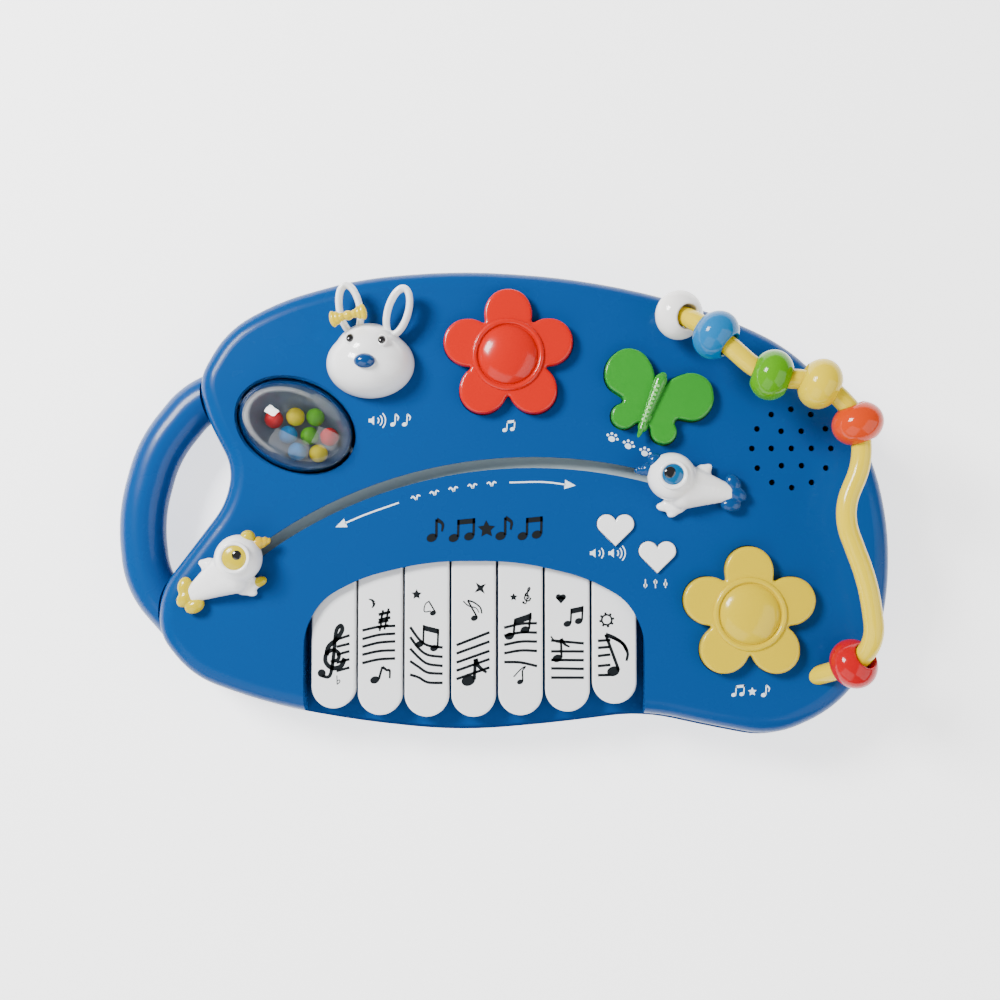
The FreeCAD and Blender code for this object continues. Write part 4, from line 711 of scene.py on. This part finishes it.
def rabbit():
    """A plain egg of a head, two ring ears, eyes, a snout and a bow."""
    centre = middle_mm("rabbit_plunger")
    x, y = centre.x, centre.y
    base = PANEL + 0.5
    lumps = [((x, y - 1.6, base), (22.4, 17.6, 19.4), None),
             ((x - 0.4, y + 3.4, base), (18.0, 15.6, 19.6), None)]
    head = blended("rabbit_face", lumps, MATERIALS["white_plastic"], "rabbit", 0.7, 14,
                   base)
    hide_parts("rabbit_head")
    for name, spot, turn in (("left", (x - 9.6, y + 25.0), 99.0), ("right", (x + 14.6, y + 23.6), 72.0)):
        ring = bmesh.new()
        route = ellipse_points(spot, 11.6, 5.1, math.radians(turn), base + EAR_HEIGHT)
        direction = Vector((math.cos(math.radians(turn)), math.sin(math.radians(turn)), 0))
        centre_line = Vector((*spot, base + EAR_HEIGHT))
        for point in route:
            point.z += EAR_LEAN * (point - centre_line).dot(direction)
        add_bar(ring, route, [(1.8, 3.4)] * len(route), 20, True)
        finish_mesh(f"rabbit_{name}_ear", ring, MATERIALS["white_plastic"], "rabbit")
    for name, spot in (("left", (x - 8.2, y + 8.8, base + 16.4)),
                       ("right", (x + 7.6, y + 7.9, base + 16.8))):
        tilt = Matrix.Rotation(math.radians(-24), 4, "X")
        ellipsoid(f"rabbit_{name}_eye_rim", (spot[0], spot[1], spot[2] - 0.5), (2.9, 3.4, 1.3),
                  MATERIALS["white_plastic"], "rabbit", tilt)
        ellipsoid(f"rabbit_{name}_eye", spot, (2.0, 2.5, 1.7), EYE_BLACK, "rabbit", tilt)
    nose = ellipsoid("rabbit_snout", (x - 0.6, y - 2.8, base + 19.4), (5.3, 3.7, 3.5),
                     MATERIALS["nose_blue"], "rabbit")
    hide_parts("rabbit_nose")

    knot_at = middle_mm("rabbit_bow")
    tilt = Matrix.Rotation(math.radians(14), 4, "Z")
    lumps = [(knot_at, (2.7, 2.5, 2.6), None)]
    for side in (-1, 1):
        for along, wide in ((3.4, 2.2), (5.6, 3.4), (7.6, 4.2)):
            spot = Vector(knot_at) + tilt @ Vector((side * along, 0, 0.2))
            lumps.append((spot, (1.9, wide, 2.3), tilt))
    bow = blended("rabbit_ribbon", lumps, BOW_YELLOW, "rabbit", 0.35, 6)
    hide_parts("rabbit_bow")


rabbit()


# ------------------------------------------------------------------ birds

def bird(body, facing, white, trim_material, trim_slot, iris_material, iris_radius, pupil):
    """A smooth sliding bird. facing is +1 where it looks anticlockwise along the track."""
    spot = middle_mm(f"{body}_shoe")
    out = Vector((spot.x - pivot.x, spot.y - pivot.y)).normalized()
    forward = Vector((-out.y, out.x)) * facing
    base = PANEL + 0.5
    turn = Matrix.Rotation(math.atan2(forward.y, forward.x), 4, "Z")

    def at(ahead, across, up):
        flat = Vector((spot.x, spot.y)) + forward * ahead + out * across
        return Vector((flat.x, flat.y, base + up))

    def leaning(degrees):
        return turn @ Matrix.Rotation(math.radians(degrees * facing), 4, "Z")

    lumps = [
        (at(8.5, 2.6, 7.5), (12.2, 12.0, 10.4), turn),
        *[(at(0.5 - 2.8 * k, 0.2 + 0.6 * k, 4.0 - 0.2 * k),
           (9.0 - 0.5 * k, 11.6 - 0.95 * k, 8.8 - 0.75 * k), leaning(-2 * k)) for k in range(8)],
        (at(2.2, -9.6, 2.6), (6.5, 5.0, 3.0), leaning(24)),
        (at(6.6, -12.2, 2.4), (4.4, 2.5, 2.2), leaning(20)),
        (at(1.6, -13.6, 2.3), (3.6, 2.2, 2.0), leaning(50)),
        (at(-5.6, 10.6, 2.6), (4.4, 3.6, 2.8), leaning(28)),
        (at(-7.0, 13.0, 2.4), (3.0, 2.0, 2.0), leaning(40)),
    ]
    skin = blended(f"{body}_skin", lumps, white, body, 0.5, 16, base)
    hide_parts(body)

    tail = [(at(-21.8, 10.0, 3.0), (5.0, 3.7, 3.0), leaning(-40)),
            (at(-25.2, 5.6, 3.0), (5.4, 3.7, 3.0), leaning(-12)),
            (at(-24.2, -0.6, 3.0), (5.2, 3.7, 3.0), leaning(16))]
    tail_piece = blended(f"{body}_tail", tail, trim_material, body, 0.4, 4)
    crest = [(at(19.0, 7.4, 8.6), (3.9, 3.7, 3.6), turn), (at(16.6, 5.4, 8.6), (3.6, 3.0, 3.0), turn)]
    blended(f"{body}_crest", crest, trim_material, body, 0.4, 4)
    beak = [(at(20.2, 2.2, 7.6), (4.2, 3.4, 2.6), turn),
            (at(23.4, 0.6, 7.2), (3.0, 2.0, 1.7), leaning(-24)),
            (at(25.4, -0.4, 6.8), (1.9, 1.2, 1.1), leaning(-24))]
    beak_material = BIRD_ORANGE if trim_slot == "yellow_plastic" else trim_material
    blended(f"{body}_beak", beak, beak_material, body, 0.35, 4)
    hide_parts(f"{body}_trim")

    if trim_slot == "yellow_plastic":
        blended(f"{body}_wing_tip", [(at(8.4, -12.6, 2.8), (3.9, 2.5, 2.2), leaning(16))], trim_material,
                body, 0.35, 4)
    eye = at(8.8, 2.9, 0)
    ring = bmesh.new()
    route = ellipse_points((eye.x, eye.y), iris_radius + 0.7, iris_radius + 0.7, 0, base + 16.6)
    add_bar(ring, route, [(1.0, 1.0)] * len(route), 14, True)
    finish_mesh(f"{body}_eye_ring", ring, white, body)
    ellipsoid(f"{body}_iris", (eye.x, eye.y, base + 16.2), (iris_radius, iris_radius, 1.9), iris_material,
              body)
    ellipsoid(f"{body}_pupil", (eye.x + pupil[0], eye.y + pupil[1], base + 17.3), (pupil[2], pupil[2], 1.1),
              EYE_BLACK, body)


bird("left_bird", -1, MATERIALS["white_plastic"], BIRD_YELLOW, "yellow_plastic", BIRD_YELLOW, 6.3,
     (1.2, 1.0, 2.8))
bird("right_bird", 1, MATERIALS["white_plastic"], BIRD_BLUE, "nose_blue", IRIS_BLUE, 5.6,
     (-1.4, 0.9, 3.2))


# ------------------------------------------------------------------ rattle drum

DRUM_TURN = math.radians(-23.6)
BALL_COLOURS = ("bead_red", "bead_yellow", "bead_green", "bead_green", "bead_red", "bead_yellow",
                "bead_blue", "bead_blue")


def rattle_balls():
    """The loose balls, in the places of the CAD balls, each in its colour."""
    cad = frame["nodes"]["rattle_balls"].data
    mesh_data = bmesh.new()
    mesh_data.from_mesh(cad)
    bmesh.ops.remove_doubles(mesh_data, verts=mesh_data.verts, dist=1e-6)
    mesh_data.verts.ensure_lookup_table()
    seen = set()
    groups = []
    for vertex in mesh_data.verts:
        if vertex in seen:
            continue
        group, waiting = [], [vertex]
        seen.add(vertex)
        while waiting:
            current = waiting.pop()
            group.append(current.co.copy())
            for edge in current.link_edges:
                other = edge.other_vert(current)
                if other not in seen:
                    seen.add(other)
                    waiting.append(other)
        groups.append(group)
    mesh_data.free()
    for k, group in enumerate(groups):
        low = Vector([min(p[i] for p in group) for i in range(3)]) / MM
        high = Vector([max(p[i] for p in group) for i in range(3)]) / MM
        slot = BALL_COLOURS[k % len(BALL_COLOURS)]
        piece = ellipsoid(f"rattle_ball_{k + 1}", (low + high) / 2, ((high.x - low.x) / 2,) * 3,
                          MATERIALS[slot], "rattle_drum")
        if k == 0:
            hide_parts("rattle_balls")


rattle_balls()


def drum_rim():
    """The blue lip of the case round the drum, just below the panel."""
    centre = middle_mm("drum_upper_half")
    lip = bmesh.new()
    route = ellipse_points((centre.x, centre.y), 33.0, 24.4, DRUM_TURN, PANEL - 2.6)
    add_bar(lip, route, [(1.5, 1.5)] * len(route), 16, True)
    finish_mesh("drum_lip", lip, MATERIALS["blue_shell"], "root")


drum_rim()


# ------------------------------------------------------------------ beads

BEAD_HALF_LENGTH = 10.4
BEAD_RADIUS = 12.3
BORE_END_RADIUS = 6.4
BORE_RADIUS = 5.5
BEAD_ARC_STEPS = 24
BORE_STEPS = 12
BEAD_TURNS = 56


def bead_profile():
    """Half of a bead's section: distance along its bore and from its middle line."""
    start = math.asin(BORE_END_RADIUS / BEAD_RADIUS)
    outside = []
    for k in range(BEAD_ARC_STEPS + 1):
        angle = start + (math.pi - 2 * start) * k / BEAD_ARC_STEPS
        outside.append((BEAD_HALF_LENGTH * math.cos(angle), BEAD_RADIUS * math.sin(angle)))
    end = outside[0][0]
    inside = []
    for k in range(1, BORE_STEPS):
        along = -end + 2 * end * k / BORE_STEPS
        inside.append((along, BORE_RADIUS + (BORE_END_RADIUS - BORE_RADIUS) * (along / end) ** 2))
    return outside + inside


def bead(name):
    """A round bead, a little flattened along the rod, in its CAD bead's place."""
    joint = joints[f"{name}_slide"]
    centre = middle_mm(name)
    axis = Vector(joint["axis"]).normalized()
    radial = centre - Vector(joint["pos_m"]) / MM
    along = axis.cross(radial).normalized()
    side = along.orthogonal().normalized()
    up = along.cross(side)
    profile = bead_profile()
    mesh_data = bmesh.new()
    rings = []
    for j in range(BEAD_TURNS):
        angle = 2 * math.pi * j / BEAD_TURNS
        outward = side * math.cos(angle) + up * math.sin(angle)
        rings.append([mesh_data.verts.new(centre + along * s + outward * r) for s, r in profile])
    for near, far in zip(rings, rings[1:] + rings[:1]):
        for k in range(len(profile)):
            after = (k + 1) % len(profile)
            mesh_data.faces.new((near[k], near[after], far[after], far[k]))
    slot = SLOT_OF[name]
    piece = finish_mesh(f"{name}_round", mesh_data, MATERIALS[slot], name)
    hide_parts(name)


for colour_name in ("white", "blue", "green", "yellow", "orange", "red"):
    bead(f"{colour_name}_bead")


# ------------------------------------------------------------------ floor and light

FLOOR_HALF_M = 12.0
FLOOR_BELOW_FEET_M = 0.0002
FLOOR_GLOW = 1.6
WORLD_STRENGTH = 0.32

floor_mesh = bmesh.new()
bmesh.ops.create_grid(floor_mesh, x_segments=1, y_segments=1, size=FLOOR_HALF_M)
floor_data = bpy.data.meshes.new("floor")
floor_mesh.to_mesh(floor_data)
floor_mesh.free()
floor = bpy.data.objects.new("floor", floor_data)
bpy.context.collection.objects.link(floor)
floor.location = (0, 0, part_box("rubber_feet")[0].z - FLOOR_BELOW_FEET_M)
floor_paper = plastic("floor_white", (0.94, 0.94, 0.94), 0.8, 0.0, specular=0.0)
floor_shader = floor_paper.node_tree.nodes["Principled BSDF"]
floor_shader.inputs["Emission Color"].default_value = (1.0, 1.0, 1.0, 1)
floor_shader.inputs["Emission Strength"].default_value = FLOOR_GLOW
floor_data.materials.append(floor_paper)

world = bpy.data.worlds.new("studio")
bpy.context.scene.world = world
world.use_nodes = True
background = world.node_tree.nodes["Background"]
background.inputs["Color"].default_value = (1.0, 1.0, 1.0, 1)
background.inputs["Strength"].default_value = WORLD_STRENGTH


def soft_light(name, place, size, power):
    """A square area light turned to the middle of the toy, with its place and size in metres."""
    data = bpy.data.lights.new(name, "AREA")
    data.shape = "SQUARE"
    data.size = size
    data.energy = power
    light = bpy.data.objects.new(name, data)
    bpy.context.collection.objects.link(light)
    light.location = place
    light.rotation_euler = (-light.location).to_track_quat("-Z", "Y").to_euler()


soft_light("key_light", Vector((-0.80, 0.55, 0.95)), 0.42, 36.0)
soft_light("fill_light", Vector((1.1, -0.5, 0.9)), 1.5, 17.0)
soft_light("front_light", Vector((-0.6, -1.1, 0.9)), 1.5, 15.0)
